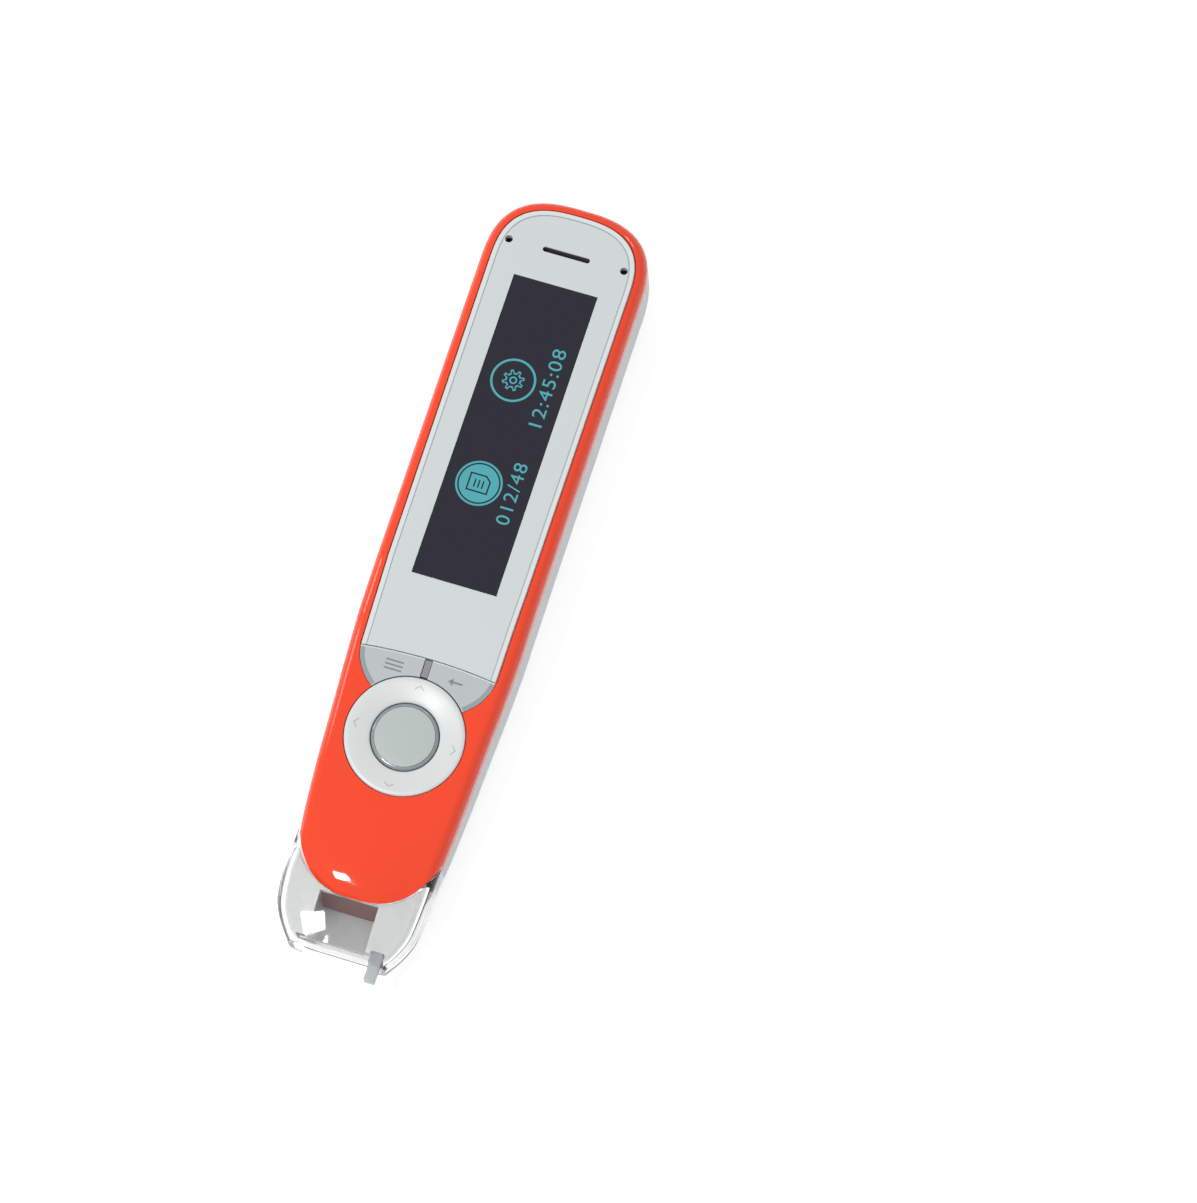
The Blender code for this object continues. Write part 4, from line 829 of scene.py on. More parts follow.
def widenLeft(mesh):
    # The tip's left side stands out a little further than its right
    for vert in mesh.vertices:
        x, y = vert.co.x / mm, vert.co.y / mm
        share = limited((widening["fromY"] - y) / widening["growth"])
        if x < widening["fromX"]:
            eased = share * share * (3 - 2 * share)
            vert.co.x += widening["by"] * mm * eased * (x - widening["fromX"]) / widening["acrossX"]
    return mesh


def tipRings(inset, low, face=coverFace):
    return rearRings(inset, low) + frontRings(inset, inset, face)


def nibTool(highY, highZ):
    x, half = tipSizes["nibX"], tipSizes["nibHalf"]
    return boxForm((x - half, beyond["tipY"], tipSizes["nibLow"]), (x + half, highY, highZ))


def makeClearCover():
    wall, topY, endY, far = tipSizes["coverWall"], tipSizes["topY"], casing["endY"], beyond["far"]
    outer = stackForm(bodyPlan, tipRings(0.0, 0.0), endY, topY, tipColumns)
    inside = stackForm(bodyPlan, tipRings(wall, wall), endY - far, topY + far, tipColumns)
    feetRight = tipSizes["nibX"] - tipSizes["nibHalf"] + tipSizes["footLap"]
    feet = boxForm((tipSizes["notchLeft"] - tipSizes["footStep"], beyond["tipY"], beyond["below"]),
                   (feetRight, endY + tipSizes["footLength"], beyond["boxAbove"]))
    tools = [inside, archTool(tipSizes["archGap"], beyond["archTop"]),
             nibTool(tipSizes["notchY"], tipSizes["nibHigh"]), feet]
    finishPiece("clearTipCover", widenLeft(carve(outer, tools)), "casing", "clear_plastic",
                stands=("clear_tip_cover",), rounding=tipSizes["rounding"], segments=3)


def makeHood():
    inset, far = tipSizes["hoodInset"], beyond["far"]
    deep, low = inset + tipSizes["hoodWall"], inset + tipSizes["hoodFloor"]
    topY, endY, notchY = tipSizes["hoodTop"], tipSizes["hoodEnd"], tipSizes["notchY"]
    left, right = tipSizes["notchLeft"], tipSizes["notchRight"]
    thick, gap = tipSizes["baffle"], tipSizes["baffleGap"]
    outer = stackForm(bodyPlan, tipRings(inset, inset), endY, topY, tipColumns)
    inside = stackForm(bodyPlan, tipRings(deep, low), endY - far, topY + far, (0.0,))
    baffles = [boxForm((x, notchY + gap, beyond["below"]),
                       (x + thick, notchY + tipSizes["baffleEnd"], beyond["boxAbove"]))
               for x in (left - gap - thick, right + gap)]
    notch = boxForm((left, beyond["tipY"], tipSizes["notchFloor"]),
                    (right, notchY - tipSizes["notchGap"], beyond["boxAbove"]))
    tools = [nibTool(notchY + gap, tipSizes["nibHigh"]), nibTool(tipSizes["nibOpenY"], beyond["boxAbove"]),
             notch, carve(inside, baffles)]
    finishPiece("tipHood", widenLeft(carve(outer, tools)), "casing", "white_gloss", stands=("tip_hood",),
                rounding=tipSizes["rounding"])


def makeTipWindow():
    deep = tipSizes["hoodInset"] + tipSizes["hoodWall"] + tipSizes["plateSlack"]
    low = tipSizes["hoodInset"] + tipSizes["hoodFloor"] + tipSizes["plateSlack"]
    left, right, notchY = tipSizes["notchLeft"], tipSizes["notchRight"], tipSizes["notchY"]
    plate = stackForm(bodyPlan, tipRings(deep, low, crownedFace), notchY + tipSizes["plateGap"],
                      notchY + tipSizes["plateEnd"], (0.0,))
    across, along = tipSizes["trimAcross"], tipSizes["trimAlong"]
    sides = [boxForm((lowX, notchY - along, beyond["below"]), (highX, notchY + along, beyond["boxAbove"]))
             for lowX, highX in ((-across, left), (right, across))]
    finishPiece("tipWindow", carve(plate, sides), "casing", "smoked_plastic", stands=("camera_window",),
                rounding=0.1)
    gap = tipSizes["faceGap"]
    face = boxForm((left + gap, notchY - tipSizes["faceProud"], tipSizes["faceLow"]),
                   (right - gap, notchY + tipSizes["faceSink"], tipSizes["faceTop"]))
    for corner in face.verts:
        if corner.co.z < tipSizes["notchFloor"] and corner.co.y < notchY:
            corner.co.y -= tipSizes["faceLean"]  # the face leans out toward its foot
    finishPiece("tipWindowFace", face, "casing", "smoked_plastic", rounding=0.05)


# Painted shade: the rear shell gets a darker copy of the white plastic, for the shade on its side away from the
# key light
rearShadedWhite = makePlastic("rearShadedWhite", (0.66, 0.685, 0.71), (0.62, 0.645, 0.67), 0.34, specular=0.2)
# Painted highlight: a lighter, glossier band round the panel's edge, for the light its bevelled clear edge
# catches
rimHighlightWhite = makePlastic("rimHighlightWhite", (0.76, 0.79, 0.79), (0.73, 0.76, 0.765), 0.12, coat=0.3)
# Painted shade: a thin grey line inside the panel's rim, for the shade along the rim's inner step
lineShadeGrey = makePlastic("lineShadeGrey", (0.42, 0.46, 0.475), (0.38, 0.42, 0.44), 0.4)
makeFrontFrame()
makeFrontPanel()
# Painted highlight band round the panel's edge
makePanelEdge("panelRimHighlight", 0.16, 0.84, 0.004, rimHighlightWhite)
# Painted shade line inside the panel's rim
makePanelEdge("panelShadeLine", 0.84, 0.98, 0.008, lineShadeGrey)
makeRearShell()
makeClearCover()
makeHood()
makeTipWindow()
finishPiece("triggerNib", weldedMesh("trigger_nib"), bodyOf["trigger_nib"], slotOf["trigger_nib"],
            stands=("trigger_nib",), rounding=0.14, segments=3)
for (x, y), word in zip(soundPlaces, ("left", "right")):
    finishPiece(word + "MicrophoneGasket", lathe(speaker["gasket"], roundness["tiny"]), "casing", "foam",
                place=Matrix.Translation((x, y, 0)))
print("casing pieces made")


# Keys: outer band, marks, and the web between them

def makeKey(side, word):
    sizes = {"margin": 0.02, "footGap": 0.07, "ringRoom": 10.05, "capDepth": 1.55, "lift": 0.02, "lipTop": 0.03,
             "lip": 0.26, "bandMargin": -0.05, "bandFoot": 0.35, "bandTop": 0.012, "bandGap": 0.1,
             "trimLow": -0.4, "roomLow": -6, "roomHigh": 4, "rounding": 0.08}
    name, body, lift, low = "key_" + word, word + "_key", sizes["lift"], sizes["trimLow"]

    def outline(margin, footGap):
        return keyOutline(side, margin, footGap, keySizes["half"])

    cap = onKeys(prismForm(outline(sizes["margin"], sizes["footGap"]), -sizes["capDepth"], lift))
    room = prismForm(circlePoints(sizes["ringRoom"], roundness["fine"]), sizes["roomLow"], sizes["roomHigh"])
    cap = carve(cap, [onKeys(room)])
    finishPiece(word + "Key", carve(weldedMesh(name), [("UNION", cap)]), body, "key_grey", stands=(name,),
                rounding=sizes["rounding"])
    # Painted highlight: a lighter strip along the key's foot edge, for the glint that edge catches
    foot = outline(sizes["margin"], sizes["footGap"] + sizes["lipTop"])[:keySizes["steps"] + 1]
    under = outline(sizes["margin"], sizes["footGap"] + sizes["lip"])[:keySizes["steps"] + 1]
    finishPiece(word + "KeyEdgeGlint", prismForm(foot + under[::-1], low, lift + sizes["lipTop"]), body, "key_grey",
                lipGlintWhite, place=keyPlane)
    outer = outline(sizes["bandMargin"], sizes["bandFoot"])[keySizes["steps"]:]
    inner = outline(-keySizes["bandWidth"], sizes["bandFoot"])[keySizes["steps"]:]
    band = [p for p in outer + inner[::-1] if math.hypot(*p) > sizes["ringRoom"] + sizes["bandGap"]]
    finishPiece(word + "KeyBand", prismForm(band, low, lift + sizes["bandTop"]), body, "key_grey", keyBandGrey,
                place=keyPlane)


def makeKeyMarks():
    sizes = {"low": -0.1, "lift": 0.05, "barWidth": 3.0, "barHeight": 0.26, "barPitch": 0.72, "x": 5.3,
             "y": 10.75, "arrow": ((-1.5, 0.0), (-0.7, 0.62), (-0.7, 0.16), (0.9, 0.16), (0.9, -0.16),
                                   (-0.7, -0.16), (-0.7, -0.62)), "arrowAside": 0.2}
    x, y, low, lift = sizes["x"], sizes["y"], sizes["low"], sizes["lift"]
    bars = [barForm(-x, y + step * sizes["barPitch"], sizes["barWidth"], sizes["barHeight"], low, lift)
            for step in (-1, 0, 1)]
    finishPiece("menuMark", joinForms(bars), "left_key", "key_grey", printGrey, place=keyPlane)
    arrow = prismForm(sizes["arrow"], low, lift)
    bmesh.ops.translate(arrow, verts=arrow.verts, vec=(x + sizes["arrowAside"], y, 0))
    finishPiece("returnMark", arrow, "right_key", "key_grey", printGrey, place=keyPlane)


# Painted highlight colour for the strip along each key's foot edge
lipGlintWhite = makePlastic("lipGlintWhite", (0.66, 0.70, 0.70), (0.62, 0.66, 0.66), 0.3)
keyBandGrey = makePlastic("keyBandGrey", (0.30, 0.35, 0.37), (0.26, 0.31, 0.33), 0.20, coat=0.4,
                          coatRoughness=0.05)
webGrey = makePlastic("webGrey", (0.25, 0.26, 0.27), (0.21, 0.22, 0.23), 0.35)
makeKey(-1, "left")
makeKey(1, "right")
makeKeyMarks()
webSizes = {"x": 0, "y": 11.65, "width": 1.14, "height": 2.9, "lowZ": -4.0, "highZ": -0.08}
finishPiece("keyWeb", barForm(**webSizes), "casing", "inner_grey", webGrey, stands=("key_web",), place=keyPlane,
            rounding=0.05)


# Ring: four chevrons set in its dish; centre button: a darker bevelled rim

def ringSurface(radius):
    share = min((radius - ringSizes["hole"]) / (ringSizes["crest"] - ringSizes["hole"]), 1.0)
    return ringSizes["rise"] - ringSizes["dish"] * (1 - share) ** ringSizes["bend"]


def makeRingTree():
    # A grid rolled up into a ring: a full-cornered section whose top is dished toward the hole
    tree, given, result = startTree("dishedRing", {
        "Outer Radius": ringSizes["radius"], "Hole Radius": ringSizes["hole"],
        "Crest Radius": ringSizes["crest"], "Rise": ringSizes["rise"], "Depth": 2.8,
        "Dish": ringSizes["dish"], "Bend": ringSizes["bend"], "Corner": 0.22})
    grid = addNode(tree, "GeometryNodeMeshGrid", {"Size X": 1.0, "Size Y": 1.0, "Vertices X": 193,
                                                  "Vertices Y": 65})
    split = addNode(tree, "ShaderNodeSeparateXYZ", {0: addNode(tree, "GeometryNodeInputPosition").outputs[0]})
    around, section = [addMath("MULTIPLY_ADD", split.outputs[axis], 2 * math.pi, math.pi) for axis in ("X", "Y")]
    parts = []
    for wave in ("COSINE", "SINE"):
        value = addMath(wave, section)
        size = addMath("POWER", addMath("ABSOLUTE", value), given["Corner"])
        parts.append(addMath("MULTIPLY", addMath("SIGN", value), size))
    across, up = parts
    outer, hole = given["Outer Radius"], given["Hole Radius"]
    half = addMath("MULTIPLY", addMath("SUBTRACT", outer, hole), 0.5)
    radius = addMath("MULTIPLY_ADD", half, across, addMath("ADD", hole, half))
    share = addMath("DIVIDE", addMath("SUBTRACT", radius, hole),
                    addMath("SUBTRACT", given["Crest Radius"], hole))
    fall = addMath("POWER", addMath("SUBTRACT", 1.0, addMath("MINIMUM", share, 1.0)), given["Bend"])
    dish = addMath("MULTIPLY", addMath("MULTIPLY", fall, given["Dish"]), addMath("MAXIMUM", up, 0.0))
    depth = addMath("MULTIPLY", addMath("MULTIPLY", given["Depth"], 0.5), addMath("SUBTRACT", up, 1.0))
    height = addMath("SUBTRACT", addMath("ADD", depth, given["Rise"]), dish)
    x, y = [addMath("MULTIPLY", radius, addMath(wave, around)) for wave in ("COSINE", "SINE")]
    moved = addNode(tree, "GeometryNodeSetPosition", {"Geometry": grid.outputs["Mesh"],
                                                      "Position": addVector(tree, X=x, Y=y, Z=height)})
    whole = addNode(tree, "GeometryNodeMergeByDistance", {"Geometry": moved.outputs[0], "Distance": 0.0005})
    return endTree(result, whole.outputs[0], finishes["ring_white"])


def makeRing():
    finishPiece("navRing", growForm(makeRingTree(), {}), "ring", "ring_white", stands=("nav_ring",),
                place=keyPlane)
    flange = lathe(((6.6, -3.4), (10.9, -3.4), (10.9, -2.65), (6.6, -2.65)), roundness["fine"])
    finishPiece("ringFlange", flange, "ring", "ring_white", place=keyPlane, rounding=0.1)


def makeChevrons():
    sizes = {"radius": 8.3, "length": 0.62, "spread": 0.78, "line": 0.2, "low": -0.1, "lift": 0.03}
    reach, spread, half = sizes["length"] / 2, sizes["spread"], sizes["line"] / 2
    path = [(-reach, spread), (reach, 0.0), (-reach, -spread)]
    outline = [(x + half, y) for x, y in path] + [(x - half, y) for x, y in reversed(path)]
    forms = []
    for quarter in range(4):
        turn = math.pi / 2 * quarter
        form = prismForm(outline, sizes["low"], sizes["lift"])
        for vert in form.verts:
            x, y, z = vert.co.x + sizes["radius"], vert.co.y, vert.co.z
            vert.co = (x * math.cos(turn) - y * math.sin(turn), x * math.sin(turn) + y * math.cos(turn),
                       z + ringSurface(math.hypot(x, y)))
        forms.append(form)
    finishPiece("ringChevrons", joinForms(forms), "ring", "ring_white", arrowGrey, place=keyPlane)


def makeCentreButton():
    # Face and stem in one, with a darker bevelled rim set round the face
    face = lathe(((0.0, -5.0), (1.0, -5.0), (1.0, -3.4), (6.2, -3.4), (6.2, -3.02), (4.98, -3.02), (4.98, -0.34),
                  (4.93, -0.27), (4.0, -0.19), (2.6, -0.11), (1.2, -0.07), (0.0, -0.06)), roundness["mid"])
    rim = lathe(((5.0, -2.8), (5.56, -2.8), (5.56, -0.74), (5.5, -0.6), (5.36, -0.46), (5.16, -0.37),
                 (5.04, -0.36), (5.0, -0.42)), roundness["fine"])
    finishPiece("centreButton", face, "centre", "button_clear", stands=("centre_button",), place=keyPlane)
    finishPiece("centreRim", rim, "centre", "button_clear", centreRimGrey, place=keyPlane)


makeChevrons()
centreRimGrey = makePlastic("centreRimGrey", (0.27, 0.30, 0.31), (0.23, 0.26, 0.27), 0.18, coat=0.5,
                            coatRoughness=0.05)
makeRing()
makeCentreButton()
print("keys and ring made")


# Display: dark window with glowing generic marks and plain numbers

display = {"faceZ": 18.985, "lowZ": 17.8, "outline": (-7.25, -1.65, 7.25, 52.55), "lift": 0.012, "sink": 0.05,
           "cutLow": 18.0, "cutHigh": 19.5}


def displayForm(points, inner=None):
    low, high = display["faceZ"] - display["sink"], display["faceZ"] + display["lift"]
    return bandForm(points, inner, low, high) if inner else prismForm(points, low, high)


def ringMark(centre, radius, line, count=roundness["mid"]):
    return displayForm(circlePoints(radius, count, centre), circlePoints(radius - line, count, centre))


def gearPoints(centre, root, tip, teeth, narrow=0.0):
    points = []
    for tooth in range(teeth):
        for share, radius in ((0.0, root), (0.2 + narrow, root), (0.32 + narrow, tip), (0.68 - narrow, tip),
                              (0.8 - narrow, root)):
            turn = 2 * math.pi * (tooth + share) / teeth
            points.append((centre[0] + radius * math.cos(turn), centre[1] + radius * math.sin(turn)))
    return points


def makeMarks():
    gear = {"centre": (-1.62, 34.66), "ring": 3.8, "line": 0.38, "root": 1.34, "tip": 1.88, "hub": 0.66,
            "stroke": 0.27, "hubLine": 0.26, "teeth": 8, "narrow": 0.1}
    page = {"centre": (-1.46, 15.96), "ring": 3.9, "line": 0.34, "disc": 3.3, "wide": 1.85, "tall": 1.6,
            "stroke": 0.26, "fold": (0.5, 0.45), "linePitch": 0.6875, "lineHalf": 0.12, "lineLow": 0.8,
            "lineHigh": 0.6}
    centre, stroke = gear["centre"], gear["stroke"]
    forms = [ringMark(centre, gear["ring"], gear["line"]),
             displayForm(gearPoints(centre, gear["root"], gear["tip"], gear["teeth"]),
                         gearPoints(centre, gear["root"] - stroke, gear["tip"] - stroke, gear["teeth"],
                                    gear["narrow"])),
             ringMark(centre, gear["hub"], gear["hubLine"], roundness["tiny"]),
             ringMark(page["centre"], page["ring"], page["line"])]

    # A page with three lines, cut out of a filled disc
    cx, cy = page["centre"]
    foldX, foldY = page["fold"]
    wide, tall, stroke = page["wide"], page["tall"], page["stroke"]
    lowX, lowY, highX, highY = cx - wide, cy - tall, cx + wide, cy + tall
    outer = [(lowX, lowY), (highX, lowY), (highX, cy + tall * foldY), (cx + wide * foldX, highY), (lowX, highY)]
    inner = [(lowX + stroke, lowY + stroke), (highX - stroke, lowY + stroke),
             (highX - stroke, cy + tall * foldY - stroke / 3), (cx + wide * foldX - stroke / 3, highY - stroke),
             (lowX + stroke, highY - stroke)]
    cuts = [bandForm(outer, inner, display["cutLow"], display["cutHigh"])]
    for step in (-1, 0, 1):
        x = cx + step * page["linePitch"]
        outline = rectangle(x - page["lineHalf"], cy - page["lineLow"],
                            x + page["lineHalf"], cy + page["lineHigh"])
        cuts.append(prismForm(outline, display["cutLow"], display["cutHigh"]))
    disc = carve(displayForm(circlePoints(page["disc"], roundness["mid"], page["centre"])), cuts)
    finishPiece("pageMark", disc, "casing", "window_dark", displayTeal)
    finishPiece("gearMark", joinForms(forms), "casing", "window_dark", displayTeal)


def makeNumbers(name, words, start, length):
    sizes = {"size": 3.0, "thick": 0.03, "spacing": 1.15, "baseline": 5.35, "stretch": 1.08}
    curve = bpy.data.curves.new(name, "FONT")
    curve.body = words
    curve.size = sizes["size"]
    curve.extrude = sizes["thick"]
    curve.space_character = sizes["spacing"]
    form = meshToForm(settledMesh(placeThing(name, curve)))
    across = [vert.co.x for vert in form.verts]
    scale = length / (max(across) - min(across))
    for vert in form.verts:
        x, y, z = vert.co
        vert.co = (sizes["baseline"] - y * sizes["stretch"], start + x * scale,
                   display["faceZ"] + display["lift"] - sizes["thick"] + z)
    finishPiece(name, form, "casing", "window_dark", displayTeal)


window = prismForm(rectangle(*display["outline"]), display["lowZ"], display["faceZ"])
finishPiece("displayWindow", window, "casing", "window_dark", stands=("display_window",), rounding=0.02)
makeMarks()
makeNumbers("clockNumbers", "12:45:08", 27.3, 13.9)
makeNumbers("countNumbers", "012/48", 10.2, 10.9)
print("display made")


# What repeats: screws, spring coils, speaker perforations, contacts, chip legs

def makeScrewTree():
    tree, values, result = startTree("screws", {
        "Head Radius": 1.28, "Head Height": 1.1, "Shank Radius": 0.68, "Shank Length": 6.8, "Spread X": 21.0,
        "Spread Y": 60.6, "Recess Width": 0.36, "Recess Reach": 1.5, "Recess Depth": 0.7})

    def addRod(count, radius, depth, lift):
        rod = addNode(tree, "GeometryNodeMeshCylinder", {"Vertices": count, "Radius": radius, "Depth": depth})
        return addNode(tree, "GeometryNodeTransform", {"Geometry": rod.outputs["Mesh"],
                                                       "Translation": addVector(tree, Z=lift)}).outputs[0]

    height, length = values["Head Height"], values["Shank Length"]
    head = addRod(48, values["Head Radius"], height, addMath("MULTIPLY", height, 0.5))
    shankLift = addMath("MULTIPLY_ADD", length, 0.5, addMath("SUBTRACT", height, 0.05))
    shank = addRod(32, values["Shank Radius"], length, shankLift)
    carved = addNode(tree, "GeometryNodeMeshBoolean", {"Mesh 1": head}, operation="DIFFERENCE", solver="EXACT")
    deep = addMath("MULTIPLY", values["Recess Depth"], 2.0)
    for first, second in (("Recess Width", "Recess Reach"), ("Recess Reach", "Recess Width")):
        size = addVector(tree, X=values[first], Y=values[second], Z=deep)
        feed(carved, {"Mesh 2": addNode(tree, "GeometryNodeMeshCube", {"Size": size}).outputs["Mesh"]})
    whole = addNode(tree, "GeometryNodeMeshBoolean", operation="UNION", solver="EXACT")
    for part in (carved.outputs["Mesh"], shank):
        feed(whole, {"Mesh 2": part})
    grid = addNode(tree, "GeometryNodeMeshGrid", {"Size X": values["Spread X"], "Size Y": values["Spread Y"],
                                                  "Vertices X": 2, "Vertices Y": 2})
    turns = addNode(tree, "FunctionNodeRandomValue", {"Min": 0.0, "Max": 1.5, "Seed": 4}, data_type="FLOAT")
    placed = addNode(tree, "GeometryNodeInstanceOnPoints", {
        "Points": grid.outputs["Mesh"], "Instance": whole.outputs["Mesh"],
        "Rotation": addVector(tree, Z=turns.outputs[1])})
    return endTree(result, placed.outputs[0], finishes["bright_metal"])


def makeSpringTree():
    tree, values, result = startTree("springCoil", {"Coil Radius": 0.82, "Wire Radius": 0.13, "Length": 3.3,
                                                    "Turns": 7.0})
    coil = addNode(tree, "GeometryNodeCurveSpiral", {
        "Resolution": 28, "Rotations": values["Turns"], "Start Radius": values["Coil Radius"],
        "End Radius": values["Coil Radius"], "Height": values["Length"]})
    wire = addNode(tree, "GeometryNodeCurvePrimitiveCircle", {"Resolution": 12, "Radius": values["Wire Radius"]})
    swept = addNode(tree, "GeometryNodeCurveToMesh", {
        "Curve": coil.outputs[0], "Profile Curve": wire.outputs["Curve"], "Fill Caps": True})
    return endTree(result, swept.outputs[0], finishes["spring_steel"])


def makeGrilleTree():
    # Sheet of square cells, each opened in its middle, then given a thickness
    tree, values, result = startTree("perforatedSheet", {"Width": 9.2, "Height": 2.0, "Across": 31, "Down": 7,
                                                         "Opening": 0.62, "Thickness": 0.12})
    sheet = addNode(tree, "GeometryNodeMeshGrid", {
        "Size X": values["Width"], "Size Y": values["Height"], "Vertices X": values["Across"],
        "Vertices Y": values["Down"]})
    cells = addNode(tree, "GeometryNodeExtrudeMesh", {
        "Mesh": sheet.outputs["Mesh"], "Offset Scale": 0.0, "Individual": True}, mode="FACES").outputs
    narrowed = addNode(tree, "GeometryNodeScaleElements", {
        "Geometry": cells["Mesh"], "Selection": cells["Top"], "Scale": values["Opening"]})
    opened = addNode(tree, "GeometryNodeDeleteGeometry", {
        "Geometry": narrowed.outputs[0], "Selection": cells["Top"]}, domain="FACE")
    merged = addNode(tree, "GeometryNodeMergeByDistance", {"Geometry": opened.outputs[0], "Distance": 0.001})
    thick = addNode(tree, "GeometryNodeExtrudeMesh", {
        "Mesh": merged.outputs[0], "Offset Scale": values["Thickness"], "Individual": False}, mode="FACES")
    back = addNode(tree, "GeometryNodeFlipFaces", {"Mesh": merged.outputs[0]})
    both = addNode(tree, "GeometryNodeJoinGeometry")
    for part in (thick.outputs["Mesh"], back.outputs["Mesh"]):
        feed(both, {0: part})
    return endTree(result, both.outputs[0], finishes["bright_metal"])


def makeRowTree(name, material):
    # A row of small bars, turned round a centre as many times as there are sides
    tree, values, result = startTree(name, {"Count": 5, "Pitch": 0.65, "Bar": (0.3, 2.0, 0.1), "Reach": 0.0,
                                            "Sides": 1})
    bar = addNode(tree, "GeometryNodeMeshCube", {"Size": values["Bar"]})
    span = addMath("MULTIPLY", addMath("SUBTRACT", values["Count"], 1.0), values["Pitch"])
    start = addVector(tree, X=addMath("MULTIPLY", span, -0.5), Y=values["Reach"])
    line = addNode(tree, "GeometryNodeMeshLine", {
        "Count": values["Count"], "Start Location": start, "Offset": addVector(tree, X=values["Pitch"])},
        mode="OFFSET")
    row = addNode(tree, "GeometryNodeInstanceOnPoints", {"Points": line.outputs["Mesh"],
                                                         "Instance": bar.outputs["Mesh"]})
    centre = addNode(tree, "GeometryNodePoints", {"Count": values["Sides"]})
    index = addNode(tree, "GeometryNodeInputIndex")
    turn = addVector(tree, Z=addMath("MULTIPLY", index.outputs[0], math.pi / 2))
    sides = addNode(tree, "GeometryNodeInstanceOnPoints", {
        "Points": centre.outputs[0], "Instance": row.outputs[0], "Rotation": turn})
    return endTree(result, sides.outputs[0], material)


def makeRepeats():
    places = {"screws": (0, 22.95, 4.1), "spring": (6.38, -44.8, 9.575), "contacts": (-4.2, 63.3, 10.88),
              "sheet": (0, speaker["y"], speaker["sheetZ"]), "processorLegs": (0, 32.45, 9.12),
              "memoryLegs": (0, 18.45, 9.12)}
    finishPiece("screws", growForm(makeScrewTree(), {}), "casing", "bright_metal",
                stands=("screw_1", "screw_2", "screw_3", "screw_4"), place=Matrix.Translation(places["screws"]),
                rounding=0.1, angle=50)
    finishPiece("triggerSpring", growForm(makeSpringTree(), {}), bodyOf["trigger_spring"], "spring_steel",
                stands=("trigger_spring",), place=lyingAt(*places["spring"]), sharp=60)
    # The grille behind the speaker slot is a real part, made near-black to stand for the painted shade inside
    # the slot
    finishPiece("speakerSheet", growForm(makeGrilleTree(), {}), "casing", "inner_grey", slotShadeMetal,
                place=Matrix.Translation(places["sheet"]))
    row = makeRowTree("contactRow", contactGold)
    contacts = growForm(row, {"Count": 5, "Pitch": 0.8, "Bar": (0.42, 3.4, 0.08)})
    finishPiece("usbContacts", contacts, "casing", "bright_metal", contactGold,
                place=Matrix.Translation(places["contacts"]))
    for name in ("processorLegs", "memoryLegs"):
        legs = growForm(row, {"Count": 13, "Pitch": 0.55, "Bar": (0.22, 0.9, 0.12), "Reach": 4.3, "Sides": 4})
        finishPiece(name, legs, "casing", "bright_metal", place=Matrix.Translation(places[name]))


# Near-black metal for the speaker grille: painted shade inside the slot
slotShadeMetal = makeMetal("slotShadeMetal", (0.045, 0.045, 0.05), (0.02, 0.02, 0.022), 0.45)
contactGold = makeMetal("contactGold", (0.80, 0.58, 0.24), (0.66, 0.45, 0.16), 0.22)
makeRepeats()
print("repeated pieces made")


# Floor, light and camera

studio = {"worldLevel": 0.38, "floorLift": 0.62, "floorSize": 3.0, "floorZ": -0.03}


def addSeen(tree):
    # Whether a ray comes from the camera, straight, mirrored or through clear plastic
    path = tree.nodes.new("ShaderNodeLightPath").outputs
    seen = addMath("MAXIMUM", path["Is Camera Ray"], path["Is Glossy Ray"])
    return addMath("MAXIMUM", seen, path["Is Transmission Ray"])


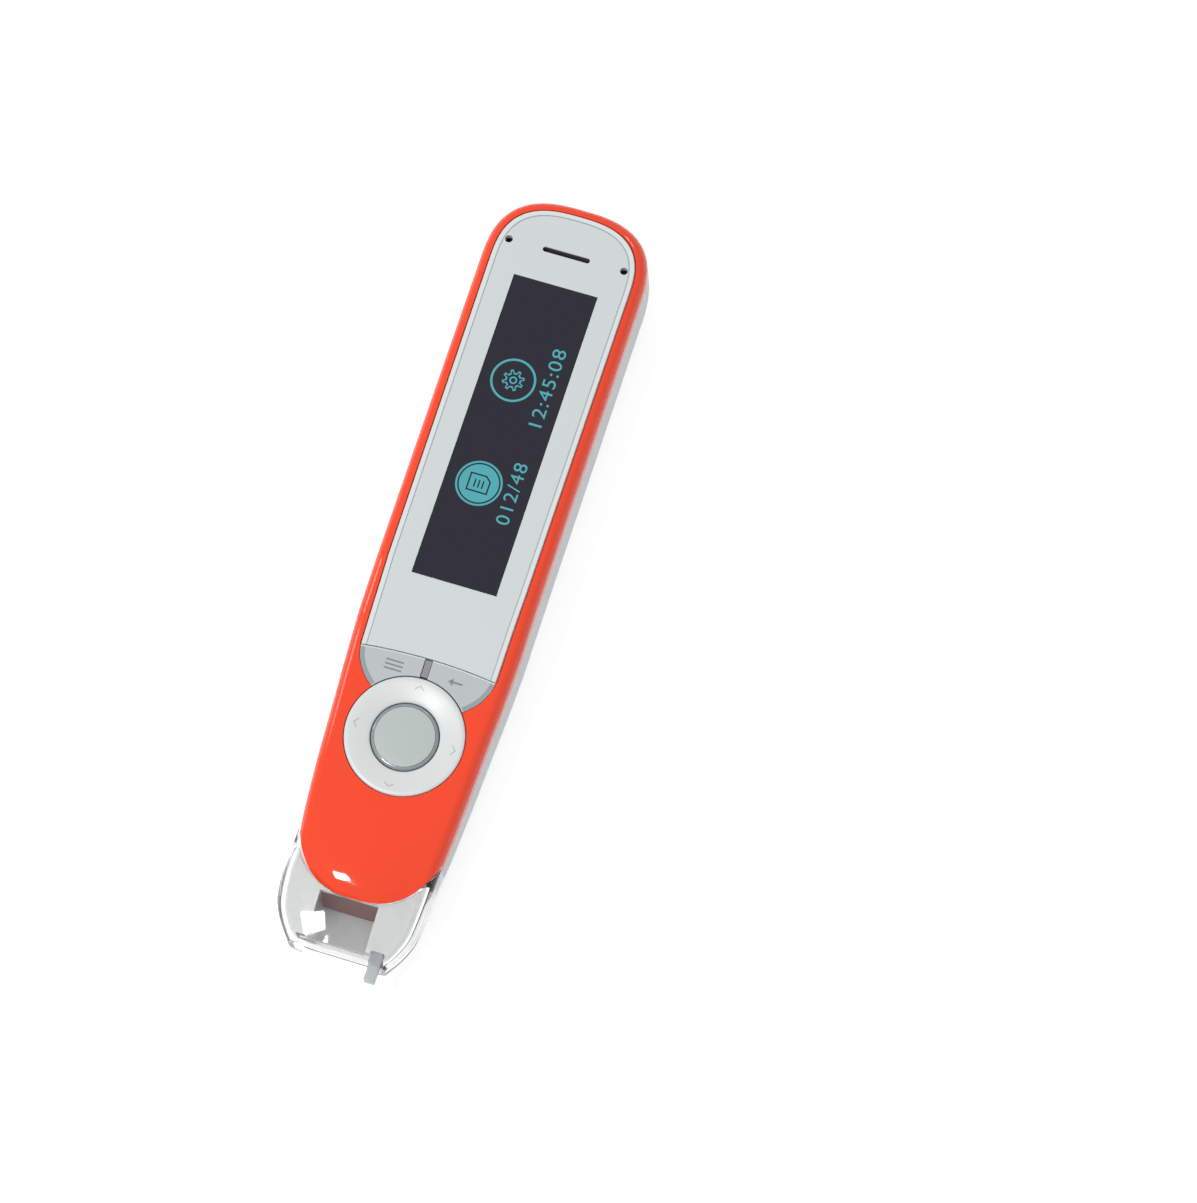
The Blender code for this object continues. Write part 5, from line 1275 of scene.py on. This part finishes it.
def makeFloor():
    material, shader, skin = startMaterial("floorPaper", "plastic", {
        "Colour": (0.90, 0.90, 0.90, 1), "Deep Tone": (0.88, 0.88, 0.88, 1), "Roughness": 0.9, "Smudge": 0.0})
    feed(shader, {"Base Color": skin["Colour"], "Roughness": 0.95, "Specular IOR Level": 0.0,
                  "Emission Color": (1, 1, 1, 1),
                  "Emission Strength": addMath("MULTIPLY", addSeen(material.node_tree), studio["floorLift"])})
    form = bmesh.new()
    bmesh.ops.create_grid(form, x_segments=1, y_segments=1, size=studio["floorSize"],
                          matrix=Matrix.Translation((0, 0, studio["floorZ"] * mm)))
    mesh = closeForm("floor", form)
    mesh.materials.append(material)
    placeThing("floor", mesh)


def makeWorld():
    world = bpy.data.worlds.new("studio")
    scene.world = world
    world.use_nodes = True
    seen = addMath("MULTIPLY", addSeen(world.node_tree), 1.0 - studio["worldLevel"])
    feed(world.node_tree.nodes["Background"], {"Color": (1, 1, 1, 1),
                                               "Strength": addMath("ADD", studio["worldLevel"], seen)})


def addSoftbox(name, place, size, level, height=None, turn=0.0):
    lamp = bpy.data.lights.new(name, "AREA")
    lamp.shape = "RECTANGLE" if height else "SQUARE"
    lamp.size = size
    if height:
        lamp.size_y = height
    away = -Vector(place)
    lamp.energy = level * math.pi ** 2 * away.length ** 2
    softbox = placeThing(name, lamp)
    softbox.location = place
    softbox.rotation_euler = (away.to_track_quat("-Z", "Y") @ Quaternion((0, 0, 1), turn)).to_euler()


scene.view_settings.view_transform = "Standard"
makeFloor()
makeWorld()
addSoftbox("keyBox", (-0.33, -0.325, 1.12), 0.10, 0.50, height=0.15, turn=-0.35)
addSoftbox("sparkBox", (-0.22, -0.385, 1.12), 0.02, 0.0133)
addSoftbox("sideBox", (-0.95, 0.15, 0.62), 0.14, 0.10, height=0.5)
addSoftbox("backBox", (0.14, 0.82, 0.86), 0.14, 0.06)

view = {"place": (0.1333, -0.24175, 0.8346), "lens": 158.6, "sensor": 36.0,
        "right": (0.95222434, 0.30307308, -0.03762339), "up": (-0.27726416, 0.90956265, 0.30954864),
        "back": (0.12803669, -0.28432813, 0.950139)}
lens = bpy.data.cameras.new("photoCamera")
lens.lens = view["lens"]
lens.sensor_fit = "VERTICAL"
lens.sensor_height = view["sensor"]
lens.clip_start = 0.01
lens.clip_end = 20
camera = placeThing("photoCamera", lens)
turn = Matrix((view["right"], view["up"], view["back"])).transposed().to_4x4()
camera.matrix_world = Matrix.Translation(view["place"]) @ turn
scene.camera = camera
print("studio ready")
